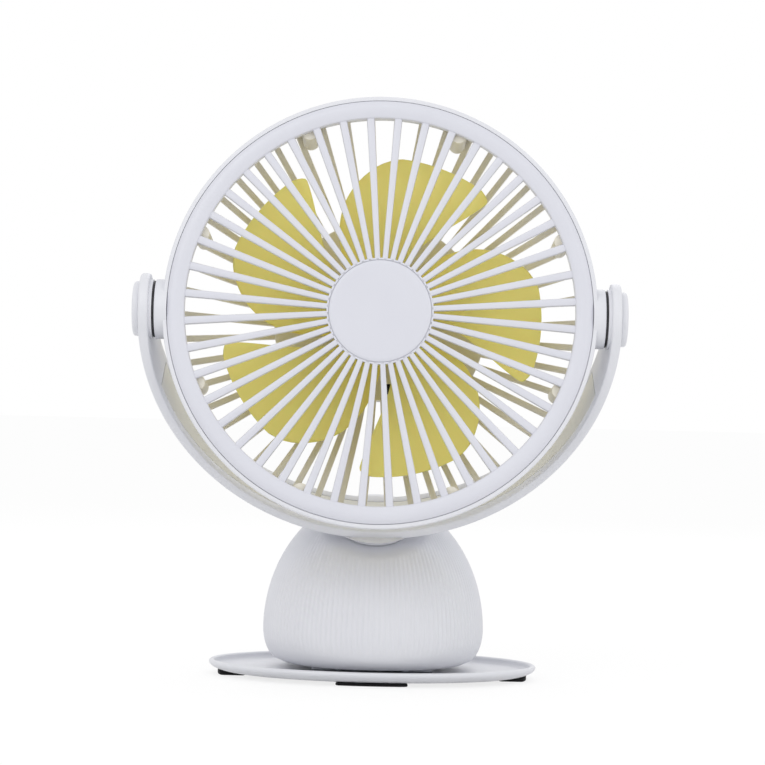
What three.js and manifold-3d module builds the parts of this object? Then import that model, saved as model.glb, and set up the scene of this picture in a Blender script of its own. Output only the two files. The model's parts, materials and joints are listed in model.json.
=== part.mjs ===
// Clip fan: a round fan head that tilts in a yoke, and a yoke that turns on a fluted dome.
// The dome is the upper jaw of a clip and holds the battery. The oval tray under it is the lower
// jaw, and the whole fan also stands on it.
// Millimetres, +Z up. The fan blows towards -Y, and +X is on the right seen from the front.
// The origin is on the table, under the middle of the whole fan.

import * as THREE from 'three';
import { mergeVertices } from 'three/addons/utils/BufferGeometryUtils.js';
import Module from 'manifold-3d';

const wasm = await Module();
wasm.setup();

// ---------------------------------------------------------------------------------------------
// Driving dimensions
// ---------------------------------------------------------------------------------------------

// Clearances
const seatGap = 0.3; // between two pieces that rest on each other
const runGap = 0.25; // round a shaft, a pin or a screw
const washerGap = 0.2; // on each side of a washer, and under a screw head or a cap
const roundGap = 0.45; // between two round rims with different flats

// Poses at rest
const yokeLean = 29; // degrees, the yoke's top forward of its neck
const headTilt = 5; // degrees, the fan face upward

// Tray, the lower jaw
const trayHalfWidth = 61;
const trayHalfDepth = 41.5;
const trayUnderside = 0.9; // height of its flat underside, carried by the feet
const trayFloor = 3.0; // height of its floor's top
const trayShoulder = 4.6; // height of its widest line
const trayRimHeight = 5.5;
const trayRimWidth = 2.2;
const trayUndercut = 12; // run of the curve from the underside up to the widest line
const trayFloorCove = 1.6; // radius between the rim and the floor

// Rubber feet
const footGap = 0.25;
const footInset = 3.4; // from the tray's widest line
const sideFootLength = 10.5; // along X
const sideFootWidth = 18; // along Y
const endFootLength = 26; // along X
const endFootWidth = 6; // along Y

// Jaw pads
const padHalfWidth = 22;
const padFront = -25; // along Y
const padBack = -9;
const padSheet = 0.5; // thickness under the ribs
const padRib = 0.45; // height of a rib
const padRibCount = 6;
const padGap = 0.2; // between the two pads when the clip is closed

// Dome, the upper jaw
const domeWidest = 18; // height of its widest line
const domeRise = 49.5; // from the widest line to the top
const domeNarrowing = 1; // how much less it measures front to back than across, each way
const domeLean = 16; // how far back its top stands behind the middle of its foot
const domeMiddle = -1; // along Y, the middle of its widest line
const domeFootInset = 7.5; // of the rounded lower edge
const domeWall = 2.2;
const fluteCount = 62;
const fluteDepth = 0.45;
const fluteFoot = 11; // height where the flutes run out
const facetFade = 21; // radius round the neck where the flutes begin
const facetFadeRun = 8;

// Neck seat, a round flat facet on the dome's front slope
const neckSetback = 28; // the neck's place, in front of the dome's top
const seatDrop = 5.3; // how far down the facet is cut at the neck
const seatWall = 3;

// Hinge of the clip
const hingeRise = 4.4; // above the dome's underside
const hingeBack = 16; // along Y
const pinRadius = 1.5;
const lugRadius = 4.2;
const lugWidth = 3;
const trayLugCentre = 12; // along X
const lugSink = 0.8; // how far a lug's foot stands in the floor that carries it
const heelAngle = 26; // degrees, the rise of the dome's heel behind the hinge
const floorThickness = 2.4;
const springCoilRadius = 3.1;
const springWire = 0.65; // radius
const springTurns = 5;
const springPitch = 1.9;
const springLegLength = 16;
const trayLegSlope = -9; // degrees
const domeLegSlope = 19;

// Things inside the dome
const cellRadius = 9.1;
const cellLength = 65;
const cellEndRoom = 6.3; // between each end of the cell and the dome's wall, at its widest
const cellToHinge = 16.5; // along Y
const screwPostRadius = 3.2;
const frontPostAcross = 12; // along X
const frontPostInset = 14.4; // from the front of the dome's widest line
const rearPostAcross = 25;
const rearPostToHinge = 2; // in front of the hinge
const boardWidth = 28;
const boardHeight = 20;
const boardThickness = 1.4;
const boardInset = 8.6; // from the back of the dome's widest line to the board's rear face
const socketWidth = 9;
const socketHeight = 3.3;
const socketRise = 22; // height of its middle
const buttonRadius = 4;
const buttonRise = 30;
const buttonProud = 0.8;
const lensRadius = 1.1;
const lensOffset = 9.5; // along X from the button

// Yoke
const yokeClearance = 6.2; // between the barrel's lip and the yoke, at the neck
const neckStand = 3; // of the neck between the yoke and the facet on the dome
const yokeThickness = 3.5;
const yokeWidth = 25;
const yokeEdge = 0.9; // chamfer
const neckRadius = 12.5;
const neckFlare = 2.6;
const stemRadius = 6;
const stemBore = 3;
const stemLength = 8.5; // below the facet
const nutRadius = 9.5;
const nutThickness = 2.6;
const linerWidth = 17;
const linerThickness = 1;
const linerHalfArc = 72; // degrees each way from the neck

// Pivots
const bossRadius = 10.5;
const headBossReach = 2.9; // out from the barrel's lip to the head's face towards the washer
const armBossReach = 1.05; // in from the yoke to its own face towards the washer
const washerThickness = 0.45;
const pivotScrewRadius = 2;
const pivotScrewHead = 3.6;
const capRadius = 9.6;
const capProud = 2.4;
const capSpigotRadius = 8.2;
const capSpigotLength = 1;

// Fan head, depths are behind the front of its ring
const pivotDepth = 10.4;
const ringOuterRadius = 74.2;
const ringWidth = 6.2;
const ringBack = 3.6;
const skirtDepth = 4.6;
const skirtThickness = 1.6;
const lipWidth = 1.6; // how far the barrel's lip stands round the ring
const lipBack = 5.6; // depth where the lip ends
const barrelStep = 0.6; // how much narrower the barrel is behind its lip
const barrelTurnIn = 16; // depth where it starts to round in
const barrelTaper = 1.2; // how much narrower than the lip it is there
const barrelDepth = 26;
const barrelBackTaper = 5.8; // how much narrower than the lip it is at its back
const barrelWall = 1.5;
const rearRimWidth = 2.5;
const frontSpokeCount = 44;
const frontSpokeInnerWidth = 1.9;
const frontSpokeOuterWidth = 2.8;
const frontSpokeDepth = 1.1;
const frontSpokeThickness = 2.2;
const plateOverlap = 1.4; // how far the slotted plate reaches into the ring
const discRadius = 18.7;
const capSeatRadius = 18.05;
const capSeatDepth = 2.1;
const rearSpokeCount = 50;
const rearSpokeWidth = 2.2;
const rearSpokeThickness = 2;
const drumRadius = 38.5;
const drumFront = 40.5;
const drumBack = 45.7;
const drumWall = 1.6;
const drumFlat = 27.5; // the drum's flat lower side, below the axis
const windowSize = 4.2;
const windowRadius = 34.4; // how far to the side the outer two stand
const lowerWindow = [2.7, -22.6]; // across and up from the axis
const motorRadius = 12;
const motorFront = 27.5;
const motorBack = 43.5;
const sleeveWall = 1.6;
const sleeveFront = 32;
const coverRise = 3.2; // of the rounded rear cover
const postCount = 8;
const postRadius = 2.9;
const postInset = 5.8; // from the ring's outer edge to a post's middle

// Impeller
const bladeCount = 5;
const bladeRoom = 8.3; // between a blade's tip and the posts
const bladeThickness = 1.3;
const bladeFront = 11.5; // depth of the blade's front edge
const bladePitch = 0.158; // depth gained in each degree round
const bladeCamber = 1.1;
const firstBlade = 44.5; // degrees clockwise from the top, the tip corner of one blade
const hubRadius = 17;
const hubFront = 8.5;
const hubBack = 24.6;
const hubWall = 1.5;
const shaftRadius = 1;
const shaftCollar = 3.6;

// Fineness of round shapes
const drumSides = 30;
const ovalSides = 36;
const hollowSides = 28;
const midSides = 18;
const smallSides = 10;
const postSides = 8;
const yokeStep = 9; // degrees of arc in each facet of the yoke

// ---------------------------------------------------------------------------------------------
// Sizes that follow from those above
// ---------------------------------------------------------------------------------------------

// The clip
const domeBottom = trayFloor + 2 * (footGap + padSheet + padRib) + padGap;
const floorTop = domeBottom + floorThickness;
const hingeHeight = domeBottom + hingeRise;
const domeHalfWidth = cellLength / 2 + cellEndRoom + domeWall;
const domeHalfDepth = domeHalfWidth - domeNarrowing;
const domeTop = domeWidest + domeRise;
const domeTopBack = domeMiddle + domeLean;
const cellMiddle = hingeBack - cellToHinge;
const cellHeight = floorTop + seatGap + cellRadius;
const boardBack = domeMiddle + domeHalfDepth - boardInset;
const frontPostPlace = domeMiddle - domeHalfDepth + frontPostInset;
const rearPostPlace = hingeBack - rearPostToHinge;

// The head, from its ring outwards and inwards
const ringInnerRadius = ringOuterRadius - ringWidth;
const barrelLipRadius = ringOuterRadius + lipWidth;
const barrelTurnRadius = barrelLipRadius - barrelTaper;
const barrelBackRadius = barrelLipRadius - barrelBackTaper;
const rearRimInner = barrelBackRadius - rearRimWidth;
const postCircle = ringOuterRadius - postInset;
const bladeTip = postCircle - postRadius - bladeRoom;

// The yoke, from the head outwards
const headBossFace = barrelLipRadius + headBossReach;
const armBossFace = headBossFace + washerThickness + 2 * washerGap;
const yokeHalfInside = armBossFace + armBossReach;
const armOutside = yokeHalfInside + yokeThickness;
const screwHeadSeat = armOutside - capSpigotLength - seatGap;
const yokeDrop = barrelLipRadius + yokeClearance;
const neckLength = yokeDrop + yokeThickness + neckStand;

// ---------------------------------------------------------------------------------------------
// Solids: every shape is a closed geometry until it is cut or joined
// ---------------------------------------------------------------------------------------------

const radians = THREE.MathUtils.degToRad;

function signedVolume(points, faces) {
  let volume = 0;
  const corner = [new THREE.Vector3(), new THREE.Vector3(), new THREE.Vector3()];
  for (let i = 0; i < faces.length; i += 3) {
    corner.forEach((point, k) => point.fromArray(points, 3 * faces[i + k]));
    volume += corner[0].dot(corner[1].cross(corner[2])) / 6;
  }
  return volume;
}

// Shares equal corners, drops flat faces and turns an inside-out shape the right way.
function cleanMesh(geometry) {
  const bare = new THREE.BufferGeometry();
  bare.setAttribute('position', geometry.getAttribute('position'));
  bare.setIndex(geometry.index);
  const merged = mergeVertices(bare, 1e-4);
  const points = merged.getAttribute('position').array;
  const source = merged.index.array;
  const faces = [];
  for (let i = 0; i < source.length; i += 3) {
    const [a, b, c] = [source[i], source[i + 1], source[i + 2]];
    if (a !== b && b !== c && c !== a) faces.push(a, b, c);
  }
  if (signedVolume(points, faces) < 0) faces.reverse();
  return { points: new Float32Array(points), faces: new Uint32Array(faces) };
}

function toSolid(shape) {
  if (shape instanceof wasm.Manifold) return shape;
  const { points, faces } = cleanMesh(shape);
  return new wasm.Manifold(new wasm.Mesh({ numProp: 3, vertProperties: points, triVerts: faces }));
}

function toGeometry(solid) {
  const mesh = solid.getMesh();
  const geometry = new THREE.BufferGeometry();
  geometry.setAttribute('position', new THREE.Float32BufferAttribute(mesh.vertProperties, 3));
  geometry.setIndex(new THREE.Uint32BufferAttribute(mesh.triVerts, 1));
  return geometry;
}

function join(...pieces) {
  return pieces.map(toSolid).reduce((sum, piece) => sum.add(piece));
}

function cut(body, ...tools) {
  return tools.map(toSolid).reduce((rest, tool) => rest.subtract(tool), toSolid(body));
}

function common(first, second) {
  return toSolid(first).intersect(toSolid(second));
}

function moved(geometry, x, y, z) {
  return geometry.clone().translate(x, y, z);
}

function block(low, high) {
  const size = high.map((value, k) => value - low[k]);
  const middle = high.map((value, k) => (value + low[k]) / 2);
  return new THREE.BoxGeometry(...size).translate(...middle);
}

// A closed outline of [radius, place] pairs, turned round the X, Y or Z axis.
function revolved(outline, sides, axis) {
  const points = outline.map(([radius, place]) => new THREE.Vector2(radius, place));
  points.push(points[0].clone());
  const shape = new THREE.LatheGeometry(points, sides);
  if (axis === 'x') shape.rotateZ(-Math.PI / 2);
  if (axis === 'z') shape.rotateX(Math.PI / 2);
  return shape;
}

function cylinder(radius, from, to, sides, axis) {
  return revolved([[0, from], [radius, from], [radius, to], [0, to]], sides, axis);
}

function pipe(inner, outer, from, to, sides, axis) {
  return revolved([[inner, from], [outer, from], [outer, to], [inner, to]], sides, axis);
}

// A skin over closed rings of points, each ring with as many points as the last, ends capped.
// The last cap is flat, or drawn to endPoint.
function loft(rings, endPoint) {
  const count = rings[0].length;
  const points = rings.flat();
  const faces = [];
  for (let r = 0; r + 1 < rings.length; r += 1) {
    for (let k = 0; k < count; k += 1) {
      const a = r * count + k;
      const b = r * count + ((k + 1) % count);
      faces.push(a, b, b + count, a, b + count, a + count);
    }
  }
  const middleOf = (ring) =>
    ring.reduce((sum, p) => sum.add(p), new THREE.Vector3()).divideScalar(count);
  const capRing = (start, middle, flip) => {
    points.push(middle);
    for (let k = 0; k < count; k += 1) {
      const next = (k + 1) % count;
      const pair = flip ? [start + next, start + k] : [start + k, start + next];
      faces.push(points.length - 1, ...pair);
    }
  };
  capRing(0, middleOf(rings[0]), true);
  capRing((rings.length - 1) * count, endPoint ?? middleOf(rings[rings.length - 1]), false);
  const geometry = new THREE.BufferGeometry();
  geometry.setAttribute('position', new THREE.Float32BufferAttribute(
    points.flatMap((p) => p.toArray()), 3));
  geometry.setIndex(faces);
  return geometry;
}

// A flat outline of [y, z] pairs, made thick along X.
function plateAcross(outline, fromX, toX) {
  const shape = new THREE.Shape(outline.map(([y, z]) => new THREE.Vector2(y, z)));
  const plate = new THREE.ExtrudeGeometry(shape, { depth: toX - fromX, bevelEnabled: false });
  const toRow = new THREE.Matrix4().makeBasis(
    new THREE.Vector3(0, 1, 0), new THREE.Vector3(0, 0, 1), new THREE.Vector3(1, 0, 0));
  return plate.applyMatrix4(toRow).translate(fromX, 0, 0);
}

function ellipsePoints(halfX, halfY, sides, middleY, height) {
  return Array.from({ length: sides }, (_, k) => {
    const turn = (2 * Math.PI * k) / sides;
    return new THREE.Vector3(
      halfX * Math.cos(turn), middleY + halfY * Math.sin(turn), height);
  });
}

function ellipsePrism(halfX, halfY, middleY, low, high) {
  return loft([low, high].map((z) => ellipsePoints(halfX, halfY, ovalSides, middleY, z)));
}

// A bar with a rectangular section from one radius to another, square to the head's face.
function spoke(turn, inner, outer) {
  const out = new THREE.Vector3(Math.sin(turn), 0, Math.cos(turn));
  const side = new THREE.Vector3(Math.cos(turn), 0, -Math.sin(turn));
  const section = ({ radius, front, width, thickness }) =>
    [[-1, 0], [1, 0], [1, 1], [-1, 1]].map(([across, back]) => out.clone()
      .multiplyScalar(radius)
      .addScaledVector(side, (across * width) / 2)
      .add(new THREE.Vector3(0, depth(front + back * thickness), 0)));
  return loft([section(inner), section(outer)]);
}

// The head's own axis is its Y axis, and its pivots lie on its X axis.
function depth(behindRing) {
  return behindRing - pivotDepth;
}

function depthOutline(outline) {
  return outline.map(([radius, behindRing]) => [radius, depth(behindRing)]);
}

const smoothstep = THREE.MathUtils.smoothstep;

// ---------------------------------------------------------------------------------------------
// Where the moving groups stand
// ---------------------------------------------------------------------------------------------

const lean = radians(yokeLean);
const neckAxis = new THREE.Vector3(0, Math.sin(lean), -Math.cos(lean)); // from the pivots down
const frontReach = domeHalfDepth + domeLean;
const seatCentre = new THREE.Vector3(
  0,
  domeTopBack - neckSetback,
  domeWidest + domeRise * Math.sqrt(1 - (neckSetback / frontReach) ** 2) - seatDrop);
const pivotCentre = seatCentre.clone().addScaledVector(neckAxis, -neckLength);
const yokeFrame = new THREE.Matrix4().makeRotationX(lean).setPosition(pivotCentre);

// ---------------------------------------------------------------------------------------------
// Tray, feet and lower pad
// ---------------------------------------------------------------------------------------------

function trayRing(inset, height) {
  return ellipsePoints(trayHalfWidth - inset, trayHalfDepth - inset, ovalSides, 0, height);
}

function trayOutside() {
  const steps = 3;
  return Array.from({ length: steps + 1 }, (_, k) => {
    const turn = (k / steps) * (Math.PI / 2);
    return trayRing(
      trayUndercut * (1 - Math.sin(turn)),
      trayUnderside + (trayShoulder - trayUnderside) * (1 - Math.cos(turn)));
  });
}

// A plate across X with a round top and the pin's hole, from its foot up.
function lug(middleX, foot) {
  const steps = 8;
  const outline = [[hingeBack - lugRadius, foot]];
  for (let k = 0; k <= steps; k += 1) {
    const turn = Math.PI - (k / steps) * Math.PI;
    outline.push([
      hingeBack + lugRadius * Math.cos(turn), hingeHeight + lugRadius * Math.sin(turn)]);
  }
  outline.push([hingeBack + lugRadius, foot]);
  const plate = plateAcross(outline, middleX - lugWidth / 2, middleX + lugWidth / 2);
  const hole = cylinder(
    pinRadius + runGap, middleX - lugWidth, middleX + lugWidth, smallSides, 'x');
  return cut(plate, moved(hole, 0, hingeBack, hingeHeight));
}

function lowerJaw() {
  const rimRise = trayRimHeight - trayShoulder;
  const rim = [1, 2, 3].map((k) => {
    const turn = (k / 3) * Math.PI;
    return trayRing(
      (trayRimWidth / 2) * (1 - Math.cos(turn)), trayShoulder + rimRise * Math.sin(turn));
  });
  const cove = [0.3, 1].map((k) => trayRing(
    trayRimWidth + trayFloorCove * k, trayFloor + (1 - k) * (trayShoulder - trayFloor) * 0.45));
  const dish = loft([...trayOutside(), ...rim, ...cove]);
  const lugs = [-1, 1].map((side) => lug(side * trayLugCentre, trayFloor - lugSink));
  return join(dish, ...lugs);
}

function footBlock(low, high) {
  const outline = ellipsePrism(
    trayHalfWidth - footInset, trayHalfDepth - footInset, 0, 0, trayShoulder);
  const lowered = moved(loft(trayOutside()), 0, 0, -footGap);
  return cut(common(block(low, high), outline), lowered);
}

function sideFoot(side) {
  const ends = [trayHalfWidth, trayHalfWidth - footInset - sideFootLength].map((x) => side * x);
  return footBlock(
    [Math.min(...ends), -sideFootWidth / 2, 0],
    [Math.max(...ends), sideFootWidth / 2, trayShoulder / 2]);
}

function endFoot(side) {
  const ends = [trayHalfDepth, trayHalfDepth - footInset - endFootWidth].map((y) => side * y);
  return footBlock(
    [-endFootLength / 2, Math.min(...ends), 0],
    [endFootLength / 2, Math.max(...ends), trayShoulder / 2]);
}

// A ribbed rubber pad. Its smooth face is at seat, and its ribs point up or down.
function jawPad(seat, up) {
  const pitch = (padBack - padFront) / padRibCount;
  const outline = [[padFront, seat]];
  for (let k = 0; k < padRibCount; k += 1) {
    const start = padFront + k * pitch;
    const low = seat + up * padSheet;
    const high = low + up * padRib;
    outline.push([start, low], [start + 0.2 * pitch, high]);
    outline.push([start + 0.8 * pitch, high], [start + pitch, low]);
  }
  outline.push([padBack, seat]);
  const rounded = outline.filter(([y, z], k) =>
    k === 0 || y !== outline[k - 1][0] || z !== outline[k - 1][1]);
  return plateAcross(rounded, -padHalfWidth, padHalfWidth);
}

function hingePin() {
  const half = trayLugCentre + 2 * lugWidth;
  return moved(cylinder(pinRadius, -half, half, smallSides, 'x'), 0, hingeBack, hingeHeight);
}

// One wire: a leg on the tray, the coil round the pin, and a leg under the dome's heel.
function clipSpring() {
  const bottom = -Math.PI / 2;
  const startTurn = bottom + radians(trayLegSlope);
  const endTurn = bottom + radians(domeLegSlope) + springTurns * 2 * Math.PI;
  const stepsEachTurn = 8;
  const steps = springTurns * stepsEachTurn;
  const half = (springTurns * springPitch) / 2;
  const onCoil = (turn, x) => new THREE.Vector3(
    x,
    hingeBack + springCoilRadius * Math.cos(turn),
    hingeHeight + springCoilRadius * Math.sin(turn));
  const coil = Array.from({ length: steps + 1 }, (_, k) => onCoil(
    startTurn + ((endTurn - startTurn) * k) / steps, -half + (2 * half * k) / steps));
  const leg = (from, slope) => new THREE.Vector3(
    0, Math.cos(radians(slope)), Math.sin(radians(slope))).multiplyScalar(springLegLength)
    .add(from);
  const route = [leg(coil[0], trayLegSlope), ...coil, leg(coil[steps], domeLegSlope)];
  console.log(`clip_spring: ${wireRoom(route, stepsEachTurn / 2).toFixed(2)} mm between turns`);
  return wire(route, springWire, 5);
}

// The least room between stretches of the spring at least some route steps apart, on its points.
function wireRoom(route, stepsApart) {
  const shares = [0, 0.25, 0.5, 0.75];
  const samples = route.slice(1).flatMap((end, k) =>
    shares.map((share) => route[k].clone().lerp(end, share)));
  const apart = stepsApart * shares.length;
  const rooms = samples.flatMap((point, k) =>
    samples.slice(k + apart).map((other) => point.distanceTo(other) - 2 * springWire));
  return Math.min(...rooms);
}

// A round wire along a list of points, its ends square.
function wire(route, radius, sides) {
  const rings = [];
  let side = new THREE.Vector3(1, 0, 0);
  route.forEach((point, k) => {
    const before = route[Math.max(k - 1, 0)];
    const after = route[Math.min(k + 1, route.length - 1)];
    const along = after.clone().sub(before).normalize();
    side = side.clone().addScaledVector(along, -side.dot(along)).normalize();
    const up = along.clone().cross(side);
    rings.push(Array.from({ length: sides }, (_, s) => {
      const turn = (2 * Math.PI * s) / sides;
      return point.clone()
        .addScaledVector(side, radius * Math.cos(turn))
        .addScaledVector(up, radius * Math.sin(turn));
    }));
  });
  return loft(rings);
}

// ---------------------------------------------------------------------------------------------
// Dome, the upper jaw
// ---------------------------------------------------------------------------------------------

// The dome's levels: how wide it is at each, as a share, the height, and how much is taken off
// all round. The lower edge is a quarter ellipse from the flat underside to the widest line.
function domeLevels(inset) {
  const lower = [0, 0.22, 0.55].map((rise) => ({
    share: 1,
    height: domeBottom + (domeWidest - domeBottom) * rise,
    narrower: inset + domeFootInset * (1 - Math.sqrt(1 - (1 - rise) ** 2)),
  }));
  const upper = [0, 24, 46, 66].map((angle) => ({
    share: Math.cos(radians(angle)),
    height: domeWidest + (domeRise - inset) * Math.sin(radians(angle)),
    narrower: inset,
  }));
  return [...lower, ...upper];
}

// How deep the flutes are at a point: they run out near the foot, the top and the neck.
function fluteShare(point, share) {
  const fromSeat = point.clone().sub(seatCentre);
  const offAxis = fromSeat.addScaledVector(neckAxis, -fromSeat.dot(neckAxis)).length();
  return smoothstep(point.z, fluteFoot - 3, fluteFoot + 6)
    * smoothstep(share, 0.1, 0.5)
    * smoothstep(offAxis, facetFade, facetFade + facetFadeRun);
}

function domeRing({ share, height, narrower }, sides, fluted) {
  const middleY = domeMiddle + domeLean * (1 - share);
  const halfX = domeHalfWidth * share - narrower;
  const halfY = domeHalfDepth * share - narrower;
  return Array.from({ length: sides }, (_, k) => {
    const turn = (2 * Math.PI * k) / sides;
    const at = (off) => new THREE.Vector3(
      (halfX - off) * Math.cos(turn), middleY + (halfY - off) * Math.sin(turn), height);
    if (!fluted || k % 2 === 0) return at(0);
    return at(fluteDepth * fluteShare(at(0), share));
  });
}

// The dome's form, filled. A larger inset gives the hollow inside it.
function domeForm(inset, sides, fluted) {
  const levels = domeLevels(inset);
  const rings = levels.map((level) => domeRing(level, sides, fluted));
  if (inset > 0) {
    const open = levels[0];
    rings.unshift(domeRing({ ...open, height: domeBottom - 1 }, sides, false));
  }
  return loft(rings, new THREE.Vector3(0, domeTopBack, domeTop - inset));
}

// Everything on the neck's side of a plane that lies below the facet by some depth.
function aboveFacet(below) {
  const wide = 2 * domeHalfWidth;
  const level = -(neckLength + below);
  return block([-wide, -wide, level], [wide, wide, level + wide]).applyMatrix4(yokeFrame);
}

function atFacet(shape) {
  return shape.applyMatrix4(yokeFrame);
}

// The outline under the raised heel: flat to the hinge, then rising to the back.
function heelLine(lift) {
  const reach = domeHalfDepth + domeLean;
  const rise = Math.tan(radians(heelAngle));
  return [
    [-reach, domeBottom + lift],
    [hingeBack, domeBottom + lift],
    [hingeBack + reach, domeBottom + lift + reach * rise],
  ];
}

function belowHeel(lift) {
  const line = heelLine(lift);
  const [start, , end] = line;
  return plateAcross(
    [[start[0], domeBottom - 3], ...line, [end[0], domeBottom - 3]],
    -2 * domeHalfWidth, 2 * domeHalfWidth);
}

function heelHeight(y) {
  return domeBottom + Math.max(0, y - hingeBack) * Math.tan(radians(heelAngle));
}

function backSurface(height) {
  const rise = Math.max(0, height - domeWidest) / domeRise;
  const share = Math.sqrt(1 - rise * rise);
  return domeMiddle + domeLean * (1 - share) + domeHalfDepth * share;
}

const postPlaces = [-1, 1].flatMap((side) => [
  [side * frontPostAcross, frontPostPlace], [side * rearPostAcross, rearPostPlace]]);

function shell() {
  const outside = cut(domeForm(0, 2 * fluteCount, true), aboveFacet(0));
  const hollow = cut(domeForm(domeWall, hollowSides, false), aboveFacet(seatWall));
  const posts = postPlaces.map(([x, y]) => common(
    moved(cylinder(screwPostRadius, heelHeight(y) + floorThickness + 1, domeTop, smallSides, 'z'),
      x, y, 0),
    domeForm(domeWall / 2, hollowSides, false)));
  const stemHole = atFacet(cylinder(
    stemRadius + runGap, -neckLength - 2 * seatWall, -neckLength + 1, midSides, 'z'));
  const socketWindow = block(
    [-socketWidth / 2 - runGap, boardBack + 1, socketRise - socketHeight / 2 - runGap],
    [socketWidth / 2 + runGap, 2 * domeHalfDepth, socketRise + socketHeight / 2 + runGap]);
  const roundHole = (radius, x, z) => moved(
    cylinder(radius + runGap, boardBack + 1, 2 * domeHalfDepth, midSides, 'y'), x, 0, z);
  const walls = join(cut(outside, hollow), ...posts);
  return cut(walls, belowHeel(0), stemHole, socketWindow,
    roundHole(buttonRadius, 0, buttonRise), roundHole(lensRadius, lensOffset, buttonRise));
}

function shellFloor() {
  const slab = cut(belowHeel(floorThickness), belowHeel(0));
  const inside = domeForm(domeWall + roundGap, hollowSides, false);
  const panel = common(slab, inside);
  const slotFront = hingeBack - lugRadius - 2.5;
  const slotBack = hingeBack + springLegLength + 1;
  const slotHalf = trayLugCentre + lugWidth / 2 + seatGap;
  const slot = block([-slotHalf, slotFront, 0], [slotHalf, slotBack, 3 * floorTop]);
  const lugX = trayLugCentre + lugWidth + seatGap;
  const lugs = [-1, 1].map((side) => lug(side * lugX, floorTop - 2 * lugSink));
  return join(cut(panel, slot), ...lugs);
}

function batteryCell() {
  const half = cellLength / 2;
  const nub = 1.2;
  const outline = [
    [0, -half], [cellRadius - 0.8, -half], [cellRadius, -half + 0.8],
    [cellRadius, half - nub - 0.8], [cellRadius - 0.8, half - nub],
    [2.8, half - nub], [2.8, half], [0, half],
  ];
  return moved(revolved(outline, midSides, 'x'), 0, cellMiddle, cellHeight);
}

const boardFoot = heelHeight(boardBack) + floorThickness + 0.9;

function circuitBoard() {
  return block(
    [-boardWidth / 2, boardBack - boardThickness, boardFoot],
    [boardWidth / 2, boardBack, boardFoot + boardHeight]);
}

// The charging socket: a metal mouth with a tongue, set through the dome's back.
function usbSocket() {
  const front = boardBack + seatGap;
  const back = backSurface(socketRise) + 0.2;
  const wall = 0.6;
  const body = block(
    [-socketWidth / 2, front, socketRise - socketHeight / 2],
    [socketWidth / 2, back, socketRise + socketHeight / 2]);
  const mouth = block(
    [-socketWidth / 2 + wall, front + 1.4, socketRise - socketHeight / 2 + wall],
    [socketWidth / 2 - wall, back + 1, socketRise + socketHeight / 2 - wall]);
  const tongue = block(
    [-socketWidth / 2 + 2 * wall, front + 1, socketRise - 0.3],
    [socketWidth / 2 - 2 * wall, back - 1.2, socketRise + 0.3]);
  return join(cut(body, mouth), tongue);
}

function powerButton() {
  const face = backSurface(buttonRise) + buttonProud;
  const foot = boardBack + buttonProud + seatGap;
  return moved(revolved([
    [0, foot], [buttonRadius, foot], [buttonRadius, face - 0.6],
    [buttonRadius - 0.6, face], [0, face - 0.25],
  ], midSides, 'y'), 0, 0, buttonRise);
}

function indicatorLens() {
  const face = backSurface(buttonRise) - 0.4;
  return moved(revolved([
    [0, boardBack + seatGap], [lensRadius, boardBack + seatGap],
    [lensRadius, face], [0, face + 0.3],
  ], 12, 'y'), lensOffset, 0, buttonRise);
}

// ---------------------------------------------------------------------------------------------
// Yoke: drawn round the middle of the pivots, with its neck down the Z axis
// ---------------------------------------------------------------------------------------------

// A band along the yoke's half ellipse, from one angle before straight down to one after.
function yokeBand(inset, thickness, width, edge, halfAngle) {
  const steps = 2 * Math.round(halfAngle / yokeStep);
  const rings = [];
  for (let k = 0; k <= steps; k += 1) {
    const turn = radians(-halfAngle + (2 * halfAngle * k) / steps);
    const point = (reach, y) => new THREE.Vector3(
      (yokeHalfInside + inset + reach) * Math.sin(turn),
      y,
      -(yokeDrop + inset + reach) * Math.cos(turn));
    const half = width / 2;
    rings.push([
      point(0, -half + edge), point(edge, -half), point(thickness - edge, -half),
      point(thickness, -half + edge), point(thickness, half - edge),
      point(thickness - edge, half), point(edge, half), point(0, half - edge),
    ]);
  }
  return loft(rings);
}

function armEnd(side) {
  const round = [
    [0, yokeHalfInside], [yokeWidth / 2 - yokeEdge, yokeHalfInside],
    [yokeWidth / 2, yokeHalfInside + yokeEdge], [yokeWidth / 2, armOutside - yokeEdge],
    [yokeWidth / 2 - yokeEdge, armOutside], [0, armOutside],
  ].map(([radius, x]) => [radius, side * x]);
  const inner = cylinder(bossRadius, side * armBossFace, side * (yokeHalfInside + 1), midSides, 'x');
  return join(revolved(round, midSides, 'x'), inner);
}

function armHole(side) {
  const shank = cylinder(
    pivotScrewRadius + runGap, side * (armBossFace - 1), side * (armOutside + 1), smallSides, 'x');
  const seat = cylinder(
    capSpigotRadius + runGap, side * (armOutside - capSpigotLength - seatGap),
    side * (armOutside + 1), midSides, 'x');
  return join(shank, seat);
}

function neck() {
  const foot = -(neckLength - seatGap);
  const start = -(yokeDrop + yokeThickness) + 0.6;
  return revolved([
    [0, start], [neckRadius + neckFlare, start], [neckRadius + neckFlare, start - 0.6],
    [neckRadius + 0.5, start - 1.6], [neckRadius, foot],
    [stemRadius, foot], [stemRadius, foot - stemLength], [0, foot - stemLength],
  ], midSides, 'z');
}

function yoke() {
  const band = yokeBand(0, yokeThickness, yokeWidth, yokeEdge, 90);
  const groove = yokeBand(
    -1, 1 + linerThickness + seatGap, linerWidth + 2 * seatGap, 0.1, linerHalfArc);
  const bore = cylinder(stemBore, -2 * neckLength, -yokeDrop, smallSides, 'z');
  const solid = join(band, armEnd(-1), armEnd(1), neck());
  return cut(solid, groove, bore, armHole(-1), armHole(1));
}

function yokeLiner() {
  return yokeBand(0, linerThickness, linerWidth, 0.2, linerHalfArc - 0.3);
}

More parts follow.
